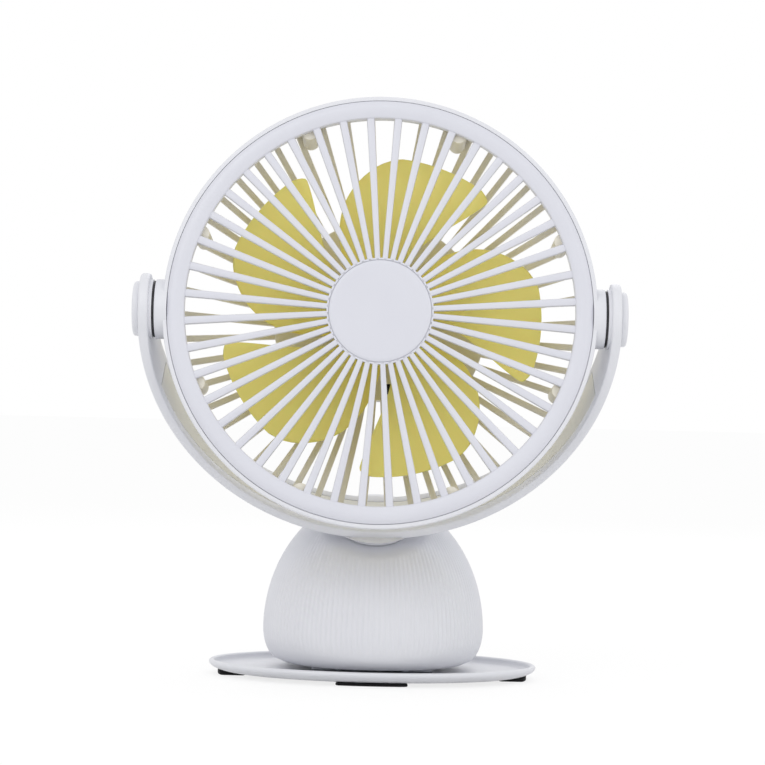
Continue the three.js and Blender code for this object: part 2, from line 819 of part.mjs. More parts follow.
function swivelNut() {
  const top = -(neckLength + seatWall + washerThickness + 2 * washerGap);
  const bore = cylinder(stemRadius + runGap, top - 2 * nutThickness, top + 1, midSides, 'z');
  return cut(cylinder(nutRadius, top - nutThickness, top, 6, 'z'), bore);
}

function swivelWasher() {
  const top = -(neckLength + seatWall + washerGap);
  return pipe(stemRadius + runGap, nutRadius, top - washerThickness, top, midSides, 'z');
}

function pivotWasher(side) {
  const near = headBossFace + washerGap;
  return pipe(pivotScrewRadius + runGap, bossRadius - 0.6,
    side * near, side * (near + washerThickness), midSides, 'x');
}

function pivotScrew(side) {
  const tip = headBossFace - 7.5;
  const headBack = screwHeadSeat + washerGap;
  return revolved([
    [0, tip], [pivotScrewRadius, tip], [pivotScrewRadius, headBack],
    [pivotScrewHead, headBack], [pivotScrewHead, headBack + 1.6], [0, headBack + 1.6],
  ].map(([radius, x]) => [radius, side * x]), smallSides, 'x');
}

function pivotCap(side) {
  const seat = armOutside + washerGap;
  const face = armOutside + capProud;
  const hollow = pivotScrewHead + 0.5;
  const foot = armOutside - capSpigotLength;
  return revolved([
    [hollow, foot], [capSpigotRadius, foot], [capSpigotRadius, seat], [capRadius, seat],
    [capRadius, face - 1.1], [capRadius - 0.7, face - 0.3], [capRadius - 2, face], [0, face],
    [0, foot + 2.2], [hollow, foot + 2.2],
  ].map(([radius, x]) => [radius, side * x]), midSides, 'x');
}

// ---------------------------------------------------------------------------------------------
// Fan head: its Y axis runs backwards through the impeller
// ---------------------------------------------------------------------------------------------

const frontSpokeTurn = (k) => ((k + 0.5) / frontSpokeCount) * 2 * Math.PI;
const postTurn = (k) => ((k + 0.5) / postCount) * 2 * Math.PI;

function aroundHead(count, turnOf, make) {
  return Array.from({ length: count }, (_, k) => make(turnOf(k)));
}

function onCircle(shape, radius, turn) {
  return moved(shape, radius * Math.sin(turn), 0, radius * Math.cos(turn));
}

// The disc, the spokes and the ring's inner edge as one plate with a slot between each two spokes.
function slottedPlate() {
  const at = (radius, turn) => new THREE.Vector2(radius * Math.sin(turn), radius * Math.cos(turn));
  const outer = Array.from({ length: frontSpokeCount }, (_, k) =>
    at(ringInnerRadius + plateOverlap, (-k / frontSpokeCount) * 2 * Math.PI));
  const plate = new THREE.Shape(outer);
  const slotEnd = ringInnerRadius + plateOverlap / 2;
  const innerHalf = Math.asin(frontSpokeInnerWidth / 2 / discRadius);
  const outerHalf = Math.asin(frontSpokeOuterWidth / 2 / slotEnd);
  aroundHead(frontSpokeCount, frontSpokeTurn, (turn) => {
    const next = turn + (2 * Math.PI) / frontSpokeCount;
    plate.holes.push(new THREE.Path([
      at(discRadius, turn + innerHalf), at(slotEnd, turn + outerHalf),
      at(slotEnd, next - outerHalf), at(discRadius, next - innerHalf),
    ]));
  });
  const settings = { depth: frontSpokeThickness, bevelEnabled: false };
  return new THREE.ExtrudeGeometry(plate, settings)
    .rotateX(Math.PI / 2)
    .translate(0, depth(frontSpokeDepth + frontSpokeThickness), 0);
}

function frontGrille() {
  const ring = revolved(depthOutline([
    [ringInnerRadius, 1], [ringInnerRadius + 1.6, 0.2], [ringInnerRadius + 3.8, 0],
    [ringOuterRadius - 0.8, 0.6], [ringOuterRadius, 1.6],
    [ringOuterRadius, skirtDepth], [ringOuterRadius - skirtThickness, skirtDepth],
    [ringOuterRadius - skirtThickness, ringBack], [ringInnerRadius, ringBack],
  ]), frontSpokeCount, 'y');
  const capSeat = cylinder(capSeatRadius, depth(0), depth(capSeatDepth), drumSides, 'y');
  return cut(join(ring, slottedPlate()), capSeat);
}

function grilleCap() {
  const radius = capSeatRadius - runGap;
  return revolved(depthOutline([
    [0, 0.7], [radius - 1.2, 0.8], [radius, 1.3],
    [radius, capSeatDepth - seatGap], [0, capSeatDepth - seatGap],
  ]), drumSides, 'y');
}

function barrel() {
  const inner = ringOuterRadius + roundGap;
  const ledge = ringOuterRadius - skirtThickness;
  return revolved(depthOutline([
    [inner, 1.3], [barrelLipRadius - 0.7, 1], [barrelLipRadius, 1.7],
    [barrelLipRadius, lipBack], [barrelLipRadius - barrelStep, lipBack + barrelStep],
    [barrelTurnRadius, barrelTurnIn], [barrelBackRadius, barrelDepth],
    [rearRimInner, barrelDepth], [rearRimInner, barrelDepth - barrelWall],
    [barrelBackRadius - barrelWall / 2, barrelDepth - barrelWall],
    [barrelTurnRadius - barrelWall, barrelTurnIn],
    [ledge, skirtDepth + seatGap], [inner, skirtDepth + seatGap],
  ]), rearSpokeCount, 'y');
}

// The room inside the barrel, out to the middle of its wall.
function insideBarrel() {
  const into = barrelWall / 2;
  return revolved(depthOutline([
    [0, 0], [barrelTurnRadius - into, 0], [barrelTurnRadius - into, barrelTurnIn],
    [barrelBackRadius - into, barrelDepth - into], [0, barrelDepth - into],
  ]), rearSpokeCount, 'y');
}

function drumShape(inset) {
  const radius = drumRadius - inset;
  const round = 1.2;
  const tall = revolved(depthOutline([
    [0, drumFront + inset], [radius - round, drumFront + inset],
    [radius, drumFront + inset + round], [radius, drumBack + inset], [0, drumBack + inset],
  ]), drumSides, 'y');
  return cut(tall, belowFlat(inset));
}

// Everything under the drum's flat lower side.
function belowFlat(inset) {
  const wide = 2 * drumRadius;
  return block([-wide, -wide, -wide], [wide, wide, inset - drumFlat]);
}

function rearSpokes() {
  const rimRadius = rearRimInner + 1.2;
  const rimFront = barrelDepth - rearSpokeThickness - 0.2;
  const drumRearFront = drumBack - rearSpokeThickness - 0.8;
  const slope = (drumRearFront - rimFront) / (rimRadius - drumRadius);
  const shared = { width: rearSpokeWidth, thickness: rearSpokeThickness };
  const turnOf = (k) => ((k + 0.5) / rearSpokeCount) * 2 * Math.PI;
  return aroundHead(rearSpokeCount, turnOf, (turn) => {
    const down = -Math.cos(turn);
    const toWall = down * drumRadius > drumFlat ? drumFlat / down : drumRadius;
    const innerRadius = toWall - drumWall / 2;
    return spoke(
      turn,
      { ...shared, radius: innerRadius, front: rimFront + slope * (rimRadius - innerRadius) },
      { ...shared, radius: rimRadius, front: rimFront });
  });
}

function pivotBoss(side) {
  const wallInside = barrelTurnRadius - barrelWall;
  const outside = cylinder(
    bossRadius, side * (wallInside - 0.8), side * headBossFace, midSides, 'x');
  const inside = cylinder(
    pivotScrewRadius + 2.2, side * (wallInside - 3.7), side * wallInside, smallSides, 'x');
  const ringSeat = cylinder(
    ringOuterRadius + roundGap, depth(-bossRadius), depth(skirtDepth + seatGap), rearSpokeCount, 'y');
  return cut(join(outside, inside), ringSeat);
}

function rearHousing() {
  const sleeve = pipe(motorRadius + seatGap, motorRadius + seatGap + sleeveWall,
    depth(sleeveFront), depth(drumFront + 1), midSides, 'y');
  const motorHole = cylinder(
    motorRadius + seatGap, depth(sleeveFront - 1), depth(drumBack), midSides, 'y');
  const posts = aroundHead(postCount, postTurn, (turn) => common(insideBarrel(), onCircle(
    cylinder(postRadius, depth(ringBack + seatGap), depth(barrelDepth), postSides, 'y'),
    postCircle, turn)));
  const half = windowSize / 2;
  const window = (x, z) => block(
    [x - half, depth(drumFront) - 1, z - half], [x + half, depth(drumFront + drumWall) + 1, z + half]);
  const windows = [
    window(-windowRadius, 0), window(windowRadius, 0), window(...lowerWindow)];
  const behindDrum = block(
    [-drumRadius, depth(drumBack), -drumRadius], [drumRadius, depth(2 * drumBack), drumRadius]);
  const spokes = cut(join(...rearSpokes()), behindDrum);
  const bores = [-1, 1].map((side) => cylinder(
    pivotScrewRadius + runGap, side * rearRimInner, side * (headBossFace + 1),
    smallSides, 'x'));
  const walls = join(barrel(), drumShape(0), spokes, sleeve, ...posts, pivotBoss(-1), pivotBoss(1));
  return cut(walls, drumShape(drumWall), motorHole, ...windows, ...bores);
}

function motorCover() {
  const seat = drumBack + seatGap;
  const form = revolved(depthOutline([
    [0, seat], [drumRadius, seat], [drumRadius, seat + 0.8], [drumRadius - 2.5, seat + 2.2],
    [drumRadius - 9, seat + coverRise - 0.3], [drumRadius / 2, seat + coverRise],
    [0, seat + coverRise],
  ]), drumSides, 'y');
  return cut(form, belowFlat(0));
}

function motorCan() {
  const round = 0.8;
  return revolved(depthOutline([
    [0, motorFront], [motorRadius - round, motorFront], [motorRadius, motorFront + round],
    [motorRadius, motorBack], [0, motorBack],
  ]), midSides, 'y');
}

// ---------------------------------------------------------------------------------------------
// Impeller
// ---------------------------------------------------------------------------------------------

// The blade's two edges at a radius, in degrees round from its tip corner.
function bladeEdges(radius) {
  const share = (radius - hubRadius) / (bladeTip - hubRadius);
  const swept = 79 - 12 * share - 27 * share ** 5;
  const straight = 8.5 * (1 - share) ** 1.3;
  const corner = 6 * Math.max(0, (share - 0.94) / 0.06) ** 2;
  return [straight + corner, swept - corner];
}

function bladeSection(radius, blade) {
  const chordSteps = 4;
  const [start, end] = bladeEdges(radius);
  const along = Array.from({ length: chordSteps + 1 }, (_, k) => k / chordSteps);
  const surface = (share, side) => {
    const round = start + (end - start) * share;
    const bow = bladeCamber * Math.sin(Math.PI * share);
    const thin = 1 - 0.45 * Math.abs(2 * share - 1) ** 3;
    const turn = radians(firstBlade + (360 / bladeCount) * blade - round);
    return new THREE.Vector3(
      radius * Math.sin(turn),
      depth(bladeFront + bladePitch * round + bow + side * (bladeThickness / 2) * thin),
      radius * Math.cos(turn));
  };
  return [
    ...along.map((share) => surface(share, -1)),
    ...along.reverse().map((share) => surface(share, 1)),
  ];
}

function bladeForm(blade) {
  const shares = [-0.02, 0.25, 0.5, 0.72, 0.9, 0.97, 1];
  const radii = shares.map((share) => hubRadius + share * (bladeTip - hubRadius));
  return loft(radii.map((radius) => bladeSection(radius, blade)));
}

function impeller() {
  const hub = revolved(depthOutline([
    [0, hubFront], [hubRadius - 2, hubFront], [hubRadius, hubFront + 1.6], [hubRadius, hubBack],
    [hubRadius - hubWall, hubBack], [hubRadius - hubWall, hubFront + 2.6], [shaftCollar, hubFront + 2.6],
    [shaftCollar, motorFront - 0.8], [0, motorFront - 0.8],
  ]), midSides, 'y');
  const blades = Array.from({ length: bladeCount }, (_, k) => bladeForm(k));
  const shaftHole = cylinder(
    shaftRadius + runGap, depth(hubFront + 1), depth(motorFront), smallSides, 'y');
  return cut(join(hub, ...blades), shaftHole);
}

function motorShaft() {
  return cylinder(
    shaftRadius, depth(hubFront + 1 + seatGap), depth(motorFront - seatGap), smallSides, 'y');
}

// ---------------------------------------------------------------------------------------------
// The fan
// ---------------------------------------------------------------------------------------------

const finish = (color, roughness, metalness = 0) =>
  new THREE.MeshStandardMaterial({ color, roughness, metalness });
const whiteShell = finish(0xe2e3ec, 0.42);
const whiteHead = finish(0xe4e5ef, 0.4);
const paleInner = finish(0xcfcfc4, 0.55);
const yellowBlade = finish(0xd8c76c, 0.45);
const blackRubber = finish(0x1d1d1f, 0.9);
const greyRubber = finish(0xa9abb2, 0.85);
const steel = finish(0xb9bcc2, 0.35, 1);
const darkNylon = finish(0x26272a, 0.6);
const greenBoard = finish(0x1f5a3a, 0.6);
const blueWrap = finish(0x3f6fa8, 0.5);
const clearLens = finish(0xdfe8f2, 0.2);

function add(group, name, shape, material) {
  const solid = shape instanceof wasm.Manifold ? toGeometry(shape) : shape;
  const { points, faces } = cleanMesh(solid);
  const geometry = new THREE.BufferGeometry();
  geometry.setAttribute('position', new THREE.Float32BufferAttribute(points, 3));
  geometry.setIndex(new THREE.Uint32BufferAttribute(faces, 1));
  geometry.computeVertexNormals();
  const mesh = new THREE.Mesh(geometry, material);
  mesh.name = name;
  group.add(mesh);
}

const fan = new THREE.Group();
const base = new THREE.Group();
const yokeGroup = new THREE.Group();
const headGroup = new THREE.Group();

yokeGroup.position.copy(pivotCentre);
yokeGroup.rotation.x = lean;
headGroup.rotation.x = -lean - radians(headTilt);
yokeGroup.add(headGroup);
fan.add(base, yokeGroup);

add(base, 'lower_jaw', lowerJaw(), whiteShell);
add(base, 'foot_left', sideFoot(-1), blackRubber);
add(base, 'foot_right', sideFoot(1), blackRubber);
add(base, 'foot_front', endFoot(-1), blackRubber);
add(base, 'foot_rear', endFoot(1), blackRubber);
add(base, 'jaw_pad_lower', jawPad(trayFloor + footGap, 1), greyRubber);
add(base, 'hinge_pin', hingePin(), steel);
add(base, 'clip_spring', clipSpring(), steel);

add(base, 'shell', shell(), whiteShell);
add(base, 'shell_floor', shellFloor(), whiteShell);
add(base, 'jaw_pad_upper', jawPad(domeBottom - footGap, -1), greyRubber);
add(base, 'battery_cell', batteryCell(), blueWrap);
add(base, 'circuit_board', circuitBoard(), greenBoard);
add(base, 'usb_socket', usbSocket(), steel);
add(base, 'power_button', powerButton(), whiteShell);
add(base, 'indicator_lens', indicatorLens(), clearLens);

add(yokeGroup, 'yoke', yoke(), whiteShell);
add(yokeGroup, 'yoke_liner', yokeLiner(), paleInner);
add(yokeGroup, 'swivel_washer', swivelWasher(), darkNylon);
add(yokeGroup, 'swivel_nut', swivelNut(), steel);
[['left', -1], ['right', 1]].forEach(([hand, side]) => {
  add(yokeGroup, `pivot_washer_${hand}`, pivotWasher(side), darkNylon);
  add(yokeGroup, `pivot_screw_${hand}`, pivotScrew(side), steel);
  add(yokeGroup, `pivot_cap_${hand}`, pivotCap(side), whiteShell);
});

add(headGroup, 'front_grille', frontGrille(), whiteHead);
add(headGroup, 'grille_cap', grilleCap(), whiteHead);
add(headGroup, 'rear_housing', rearHousing(), whiteShell);
add(headGroup, 'motor_cover', motorCover(), whiteShell);
add(headGroup, 'motor_can', motorCan(), steel);
add(headGroup, 'impeller', impeller(), yellowBlade);
add(headGroup, 'motor_shaft', motorShaft(), steel);

// The origin goes under the middle of the whole fan, front to back.
fan.updateMatrixWorld(true);
const reach = new THREE.Box3().setFromObject(fan, true);
fan.position.y = -(reach.min.y + reach.max.y) / 2;
fan.updateMatrixWorld(true);

export default fan;
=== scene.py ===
# %% [markdown]
# # A clip fan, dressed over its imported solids
# The fan is a round, grilled head that tilts between the arms of a half-ring yoke. The yoke turns
# on a fluted dome, and the dome and the oval tray under it are the two jaws of a sprung clip.
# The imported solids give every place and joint. This script gives each visible part the fine form
# and the finish that the moulded, turned or wound original has.

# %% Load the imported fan
import json
import math

import bmesh
import bpy
import numpy as np
from mathutils import Matrix, Vector


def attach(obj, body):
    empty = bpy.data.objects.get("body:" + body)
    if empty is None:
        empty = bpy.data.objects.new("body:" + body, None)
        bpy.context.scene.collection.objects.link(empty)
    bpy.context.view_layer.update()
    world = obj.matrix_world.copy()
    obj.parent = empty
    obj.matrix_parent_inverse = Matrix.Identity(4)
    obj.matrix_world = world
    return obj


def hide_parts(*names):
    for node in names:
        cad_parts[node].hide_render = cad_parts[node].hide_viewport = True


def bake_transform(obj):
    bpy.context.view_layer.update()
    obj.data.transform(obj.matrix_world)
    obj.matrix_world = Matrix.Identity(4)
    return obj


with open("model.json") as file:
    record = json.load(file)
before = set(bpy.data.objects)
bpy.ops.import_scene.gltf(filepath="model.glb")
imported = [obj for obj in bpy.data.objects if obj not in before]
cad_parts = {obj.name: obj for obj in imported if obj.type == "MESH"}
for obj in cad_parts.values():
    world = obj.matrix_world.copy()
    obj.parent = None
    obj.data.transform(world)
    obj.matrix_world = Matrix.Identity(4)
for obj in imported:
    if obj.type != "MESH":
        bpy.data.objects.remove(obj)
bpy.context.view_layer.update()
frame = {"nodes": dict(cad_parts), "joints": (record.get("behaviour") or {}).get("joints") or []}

# %% [markdown]
# Every part is drawn in millimetres, in the place where its mould would lie: the head round its
# own axis, the yoke with its neck down, and the clip flat on the table. Three matrices then carry
# them to the fan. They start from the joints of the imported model, so nothing has to be fitted.

# %% Three places to draw in
YOKE_LEAN = 29.0  # degrees
HEAD_TILT = 5.0
HINGE_BACK = 16.0  # mm behind the tray's middle

joint_place = {j["name"]: Vector(j["pos_m"]) for j in frame["joints"] if "pos_m" in j}
millimetres = Matrix.Scale(0.001, 4)
at_pivot = Matrix.Translation(joint_place["head_tilt"])
head_place = at_pivot @ Matrix.Rotation(math.radians(-HEAD_TILT), 4, "X") @ millimetres
yoke_place = at_pivot @ Matrix.Rotation(math.radians(YOKE_LEAN), 4, "X") @ millimetres
clip_place = Matrix.Translation(
    (0, joint_place["clip_open"].y - HINGE_BACK / 1000, 0)) @ millimetres
print("pivot", tuple(round(v, 4) for v in joint_place["head_tilt"]))

# %% [markdown]
# The photograph was taken almost level, from nearly a metre away and slightly above the clip. A
# long lens gives the same flat look. The camera is rolled a little, as the photographed fan is.

# %% Camera
FOCAL_PIXELS = 2398.8
PHOTO_PIXELS = 765
SENSOR = 36.0
CAMERA_PLACE = (0.0014, -0.8829, 0.0971)
CAMERA_UP = 0.81  # degrees above level
CAMERA_ROLL = 1.345

lens = bpy.data.cameras.new("camera")
lens.sensor_width = SENSOR
lens.lens = FOCAL_PIXELS / PHOTO_PIXELS * SENSOR
camera = bpy.data.objects.new("camera", lens)
camera.matrix_world = (
    Matrix.Translation(CAMERA_PLACE)
    @ Matrix.Rotation(math.pi / 2 + math.radians(CAMERA_UP), 4, "X")
    @ Matrix.Rotation(math.radians(CAMERA_ROLL), 4, "Z"))
bpy.context.scene.collection.objects.link(camera)
bpy.context.scene.camera = camera
bpy.context.scene.view_settings.view_transform = "Standard"
print("lens", round(lens.lens, 2), "mm")

# %% [markdown]
# Materials and Geometry Nodes are both trees of nodes. One small helper adds a node, sets its
# properties, and fills each input with a value or with the output of another node.

# %% A helper that adds one node
def add_node(tree, kind, inputs=None, **settings):
    made = tree.nodes.new(kind)
    for name, value in settings.items():
        setattr(made, name, value)
    for name, value in (inputs or {}).items():
        if isinstance(value, bpy.types.NodeSocket):
            tree.links.new(value, made.inputs[name])
        else:
            made.inputs[name].default_value = value
    return made


# %% Colours are written as sRGB hex and turned linear in one place
def linear(code):
    shares = [int(code[k:k + 2], 16) / 255 for k in (1, 3, 5)]
    return [s / 12.92 if s <= 0.04045 else ((s + 0.055) / 1.055) ** 2.4 for s in shares] + [1.0]


print("mid grey", [round(v, 3) for v in linear("#808080")])

# %% [markdown]
# The background of a product picture is white, but the light on the object must stay plain, or
# pale plastic burns out. So the world is white only to rays from the camera or to mirror rays, and
# lights the fan at a lower level. The floor does the same and still keeps the fan's shadow.

# %% World, floor and lamps
WORLD_LEVEL = 0.86
FLOOR_SHINE = 0.72  # share of the floor's look that is plain white to the camera
FLOOR_WHITE = 1.08  # strength of that share, so that lit paper comes out just white
FLOOR_HALF = 30.0  # metres
WHITE = linear("#FFFFFF")


def seen_directly(tree):
    path = add_node(tree, "ShaderNodeLightPath")
    mirror = add_node(tree, "ShaderNodeMath", {
        0: path.outputs["Is Glossy Ray"], 1: path.outputs["Is Transmission Ray"],
    }, operation="MAXIMUM")
    return add_node(tree, "ShaderNodeMath", {
        0: path.outputs["Is Camera Ray"], 1: mirror.outputs[0]}, operation="MAXIMUM").outputs[0]


world = bpy.data.worlds.new("studio")
world.use_nodes = True
sky = world.node_tree
sky.nodes.clear()
lit = add_node(sky, "ShaderNodeBackground", {"Color": WHITE, "Strength": WORLD_LEVEL})
shown = add_node(sky, "ShaderNodeBackground", {"Color": WHITE, "Strength": 1.0})
both = add_node(sky, "ShaderNodeMixShader", {
    0: seen_directly(sky), 1: lit.outputs[0], 2: shown.outputs[0]})
add_node(sky, "ShaderNodeOutputWorld", {"Surface": both.outputs[0]})
bpy.context.scene.world = world

floor_finish = bpy.data.materials.new("white sweep paper")
floor_finish.use_nodes = True
paper = floor_finish.node_tree
paper.nodes.clear()
matt = add_node(paper, "ShaderNodeBsdfDiffuse", {"Color": linear("#EDEDED")})
glow = add_node(paper, "ShaderNodeEmission", {"Color": WHITE, "Strength": FLOOR_WHITE})
share = add_node(paper, "ShaderNodeMath", {
    0: seen_directly(paper), 1: FLOOR_SHINE}, operation="MULTIPLY")
mixed = add_node(paper, "ShaderNodeMixShader", {
    0: share.outputs[0], 1: matt.outputs[0], 2: glow.outputs[0]})
add_node(paper, "ShaderNodeOutputMaterial", {"Surface": mixed.outputs[0]})

floor_mesh = bpy.data.meshes.new("floor")
floor_mesh.from_pydata([(x * FLOOR_HALF, y * FLOOR_HALF, 0) for x, y in (
    (-1, -1), (1, -1), (1, 1), (-1, 1))], [], [(0, 1, 2, 3)])
floor = bpy.data.objects.new("floor", floor_mesh)
floor.data.materials.append(floor_finish)
bpy.context.scene.collection.objects.link(floor)

LAMPS = {  # place, size in metres, watts
    "key": ((-0.45, -0.95, 0.75), 0.8, 2.4),
    "fill": ((0.75, -0.8, 0.35), 0.8, 1.2),
    "back": ((0.2, 0.9, 0.8), 0.7, 1.2),
}
for name, (place, size, watts) in LAMPS.items():
    lamp = bpy.data.lights.new(name, "AREA")
    lamp.energy = watts
    lamp.size = size
    holder = bpy.data.objects.new(name, lamp)
    aim = (Vector((0, 0, 0.1)) - Vector(place)).to_track_quat("-Z", "Y")
    holder.matrix_world = Matrix.Translation(place) @ aim.to_matrix().to_4x4()
    bpy.context.scene.collection.objects.link(holder)
print("lamps", list(LAMPS))

# %% [markdown]
# ## The finishes
# The housings are injection-moulded ABS: a hard, slightly glossy plastic with a very fine spark
# texture from the mould, and a faint unevenness in its shine where the melt flowed. The pattern
# reads Object coordinates, so its sizes are real ones. The true grain of about 0.1 mm is too fine
# to show, so it is drawn at 0.5 mm. The small breaks in the light that it makes are what tells
# the eye plastic.

# %% Moulded plastic, in six finishes, some tinted as painted shade
FLOW_SIZE = 22.0  # mm, the faint shift of colour where the melt flowed
PATCH_SIZE = 6.0  # mm, the duller and shinier patches


def pattern_size(size_mm):
    """The scale of a noise whose features are that many millimetres apart."""
    return 1000.0 / size_mm


def new_finish(name):
    finish = bpy.data.materials.new(name)
    finish.use_nodes = True
    finish.node_tree.nodes.clear()
    where = add_node(finish.node_tree, "ShaderNodeTexCoord").outputs["Object"]
    return finish, finish.node_tree, where


def close_finish(finish, inputs):
    tree = finish.node_tree
    surface = add_node(tree, "ShaderNodeBsdfPrincipled", inputs)
    add_node(tree, "ShaderNodeOutputMaterial", {"Surface": surface.outputs[0]})
    return finish


def clouds(tree, where, size_mm, detail=2.0):
    return add_node(tree, "ShaderNodeTexNoise", {
        "Vector": where, "Scale": pattern_size(size_mm), "Detail": detail}).outputs[0]


def two_tones(tree, share, deep, pale):
    return add_node(tree, "ShaderNodeMix", {
        0: share, 6: linear(deep), 7: linear(pale)}, data_type="RGBA").outputs[2]


def uneven(tree, share, low, high):
    return add_node(tree, "ShaderNodeMapRange", {
        "Value": share, "From Min": 0.3, "From Max": 0.7,
        "To Min": low, "To Max": high}).outputs[0]


def relief(tree, height, strength, depth_mm):
    return add_node(tree, "ShaderNodeBump", {
        "Height": height, "Strength": strength, "Distance": depth_mm / 1000}).outputs[0]


def moulded(name, pale, deep, shine, grain_mm=0.5, grain_height=0.006, ior=1.53, **constants):
    finish, tree, where = new_finish(name)
    return close_finish(finish, {
        "Base Color": two_tones(tree, clouds(tree, where, FLOW_SIZE, 3.0), deep, pale),
        "Roughness": uneven(tree, clouds(tree, where, PATCH_SIZE), shine - 0.05, shine + 0.05),
        "Normal": relief(tree, clouds(tree, where, grain_mm), 0.35, grain_height),
        "IOR": ior, **constants})


white_abs = moulded("white moulded ABS, base", "#E3E4E9", "#DCDDE3", 0.40)
# The grilles' greyer, bluer white is painted shade, the cool shade on the top of the ring.
head_abs_painted_shade = moulded("white moulded ABS, grilles, greyed as painted shade", "#DBDCE4", "#D5D6DF", 0.38)
# The rear grille's cream is painted shade: the same white ABS in shade, warmed by light bounced off
# the yellow blades.
rear_abs_painted_warm_shade = moulded("white moulded ABS, rear grille, warmed as painted shade", "#F0EBDD", "#E9E4D4", 0.45)
# Warm grey of the strip in the yoke's inner face: painted shade, tinted by reflected light.
inner_face_shade_abs = moulded("warm grey moulded ABS, matt", "#E9E8E2", "#E2E1DA", 0.58)
blade_pp = moulded("yellow polypropylene", "#F8EC86", "#F2E57A", 0.42, 0.9, 0.01, 1.49,
                   **{"Subsurface Weight": 0.12, "Subsurface Scale": 0.002})
# Black nylon; on the pivot washers the black is painted shade of the narrow gap.
black_nylon_and_gap_shade = moulded("black nylon, washers also painted gap shade", "#2B2B2E", "#222225", 0.55)
print("moulded finishes made")

# %% [markdown]
# Rubber is the opposite: no shine at all, and a dusty, pitted skin. The feet are black, and the
# jaw pads are grey silicone, a little smoother.

# %% Silicone and rubber
def rubber(name, pale, deep, shine, pit_mm):
    finish, tree, where = new_finish(name)
    pits = add_node(tree, "ShaderNodeTexVoronoi", {
        "Vector": where, "Scale": pattern_size(pit_mm)})
    return close_finish(finish, {
        "Base Color": two_tones(tree, clouds(tree, where, 4.0, 4.0), deep, pale),
        "Roughness": shine, "Normal": relief(tree, pits.outputs["Distance"], 0.5, 0.03),
        "IOR": 1.45, "Specular IOR Level": 0.3})


# This black rubber also covers the sheets behind the drum's windows, where it is painted shade.
black_rubber = rubber("black rubber foot, also painted shade in the drum's windows", "#2A2A2C", "#161618", 0.9, 0.7)
grey_silicone = rubber("grey silicone pad", "#A9ABB1", "#94969D", 0.75, 0.9)
print("rubber finishes made")

# %% [markdown]
# The pin, spring, screws and the motor's case are zinc-plated steel: a bluish grey metal, dull
# rather than mirror-bright, with a crystal-like mottle in its roughness. Fine lines run along the
# drawn spring wire, and the eye sees them as a soft, streaky shine.

# %% Zinc-plated steel
MOTTLE_SIZE = 1.6  # mm


def plated(name, pale, deep, shine, stretch=(1.0, 1.0, 1.0)):
    finish, tree, where = new_finish(name)
    along = add_node(tree, "ShaderNodeMapping", {"Vector": where, "Scale": stretch})
    mottle = clouds(tree, along.outputs[0], MOTTLE_SIZE, 4.0)
    return close_finish(finish, {
        "Base Color": two_tones(tree, mottle, deep, pale),
        "Roughness": uneven(tree, mottle, shine - 0.08, shine + 0.1), "Metallic": 1.0})


zinc_steel = plated("zinc-plated steel", "#C9CCD1", "#A9ACB3", 0.32)
spring_steel = plated("drawn spring wire, zinc-plated", "#C4C7CC", "#9A9DA4", 0.36,
                      (1.0, 0.2, 1.0))
nickel_shell = plated("nickel-plated socket shell", "#D5D3CC", "#BDBBB4", 0.24)
print("metal finishes made")

# %% [markdown]
# Three finishes are inside or tiny: the green lacquered glass-fibre board with its paler tracks,
# the shrink film round the cell, glossy over a metal can, and the clear light guide of the charge
# light, which is frosted so that it glows evenly.

# %% Board, film and light guide
TRACK_SPACING = 1.8  # mm

board_lacquer, tree, where = new_finish("green lacquered glass-fibre board")
tracks = add_node(tree, "ShaderNodeTexBrick", {
    "Vector": where, "Color1": linear("#23613F"), "Color2": linear("#1D5436"),
    "Mortar": linear("#2F7A4F"), "Scale": pattern_size(TRACK_SPACING * 4), "Mortar Size": 0.03})
close_finish(board_lacquer, {
    "Base Color": tracks.outputs["Color"], "Roughness": 0.35, "IOR": 1.5})

film_wrap = moulded("blue shrink film", "#3F6FA8", "#38649A", 0.25, 2.0, 0.02)
light_guide = moulded("frosted clear polycarbonate", "#EAF1F6", "#DFE8F0", 0.3, 0.4, 0.004, 1.58,
                      **{"Transmission Weight": 0.5})
print("inner finishes made")

# %% [markdown]
# ## Shaping helpers
# Most parts here are either turned round an axis or drawn out along a path. Both are the same
# mesh: rings of points with a skin between them. So one function makes the skin, and the others
# only work out where the rings go. Corners of an outline are eased with a small curve, because no
# moulded edge is perfectly sharp, and that curve is what catches the light.

# %% A skin over rings, and a corner that is eased
def skin(rings, round_trip=False):
    """Points and faces over rings of equal length. The ends are closed, or joined to each other."""
    rings = np.asarray(rings, float)
    rows, columns = rings.shape[:2]
    index = np.arange(rows * columns).reshape(rows, columns)
    ahead = np.roll(index, -1, 1)
    last = rows if round_trip else rows - 1
    faces = [
        (index[r, c], ahead[r, c], ahead[(r + 1) % rows, c], index[(r + 1) % rows, c])
        for r in range(last) for c in range(columns)]
    if not round_trip:
        faces += [tuple(index[0][::-1]), tuple(index[-1])]
    return rings.reshape(-1, 3), [tuple(int(i) for i in face) for face in faces]


def eased(outline, steps=4, closed=True):
    """An outline of (across, along, easing) corners, each eased by a short curve."""
    corners = [(np.array(corner[:2], float), corner[2] if len(corner) > 2 else 0.0)
               for corner in outline]
    points = []
    for k, (corner, easing) in enumerate(corners):
        if easing <= 0 or (not closed and k in (0, len(corners) - 1)):
            points.append(tuple(corner))
            continue
        before = corners[k - 1][0]
        after = corners[(k + 1) % len(corners)][0]
        ends = []
        for other in (before, after):
            gap = other - corner
            length = np.linalg.norm(gap)
            ends.append(corner + gap / length * min(easing, 0.48 * length))
        for t in np.linspace(0, 1, steps + 1):
            points.append(tuple(
                (1 - t) ** 2 * ends[0] + 2 * t * (1 - t) * corner + t ** 2 * ends[1]))
    return points


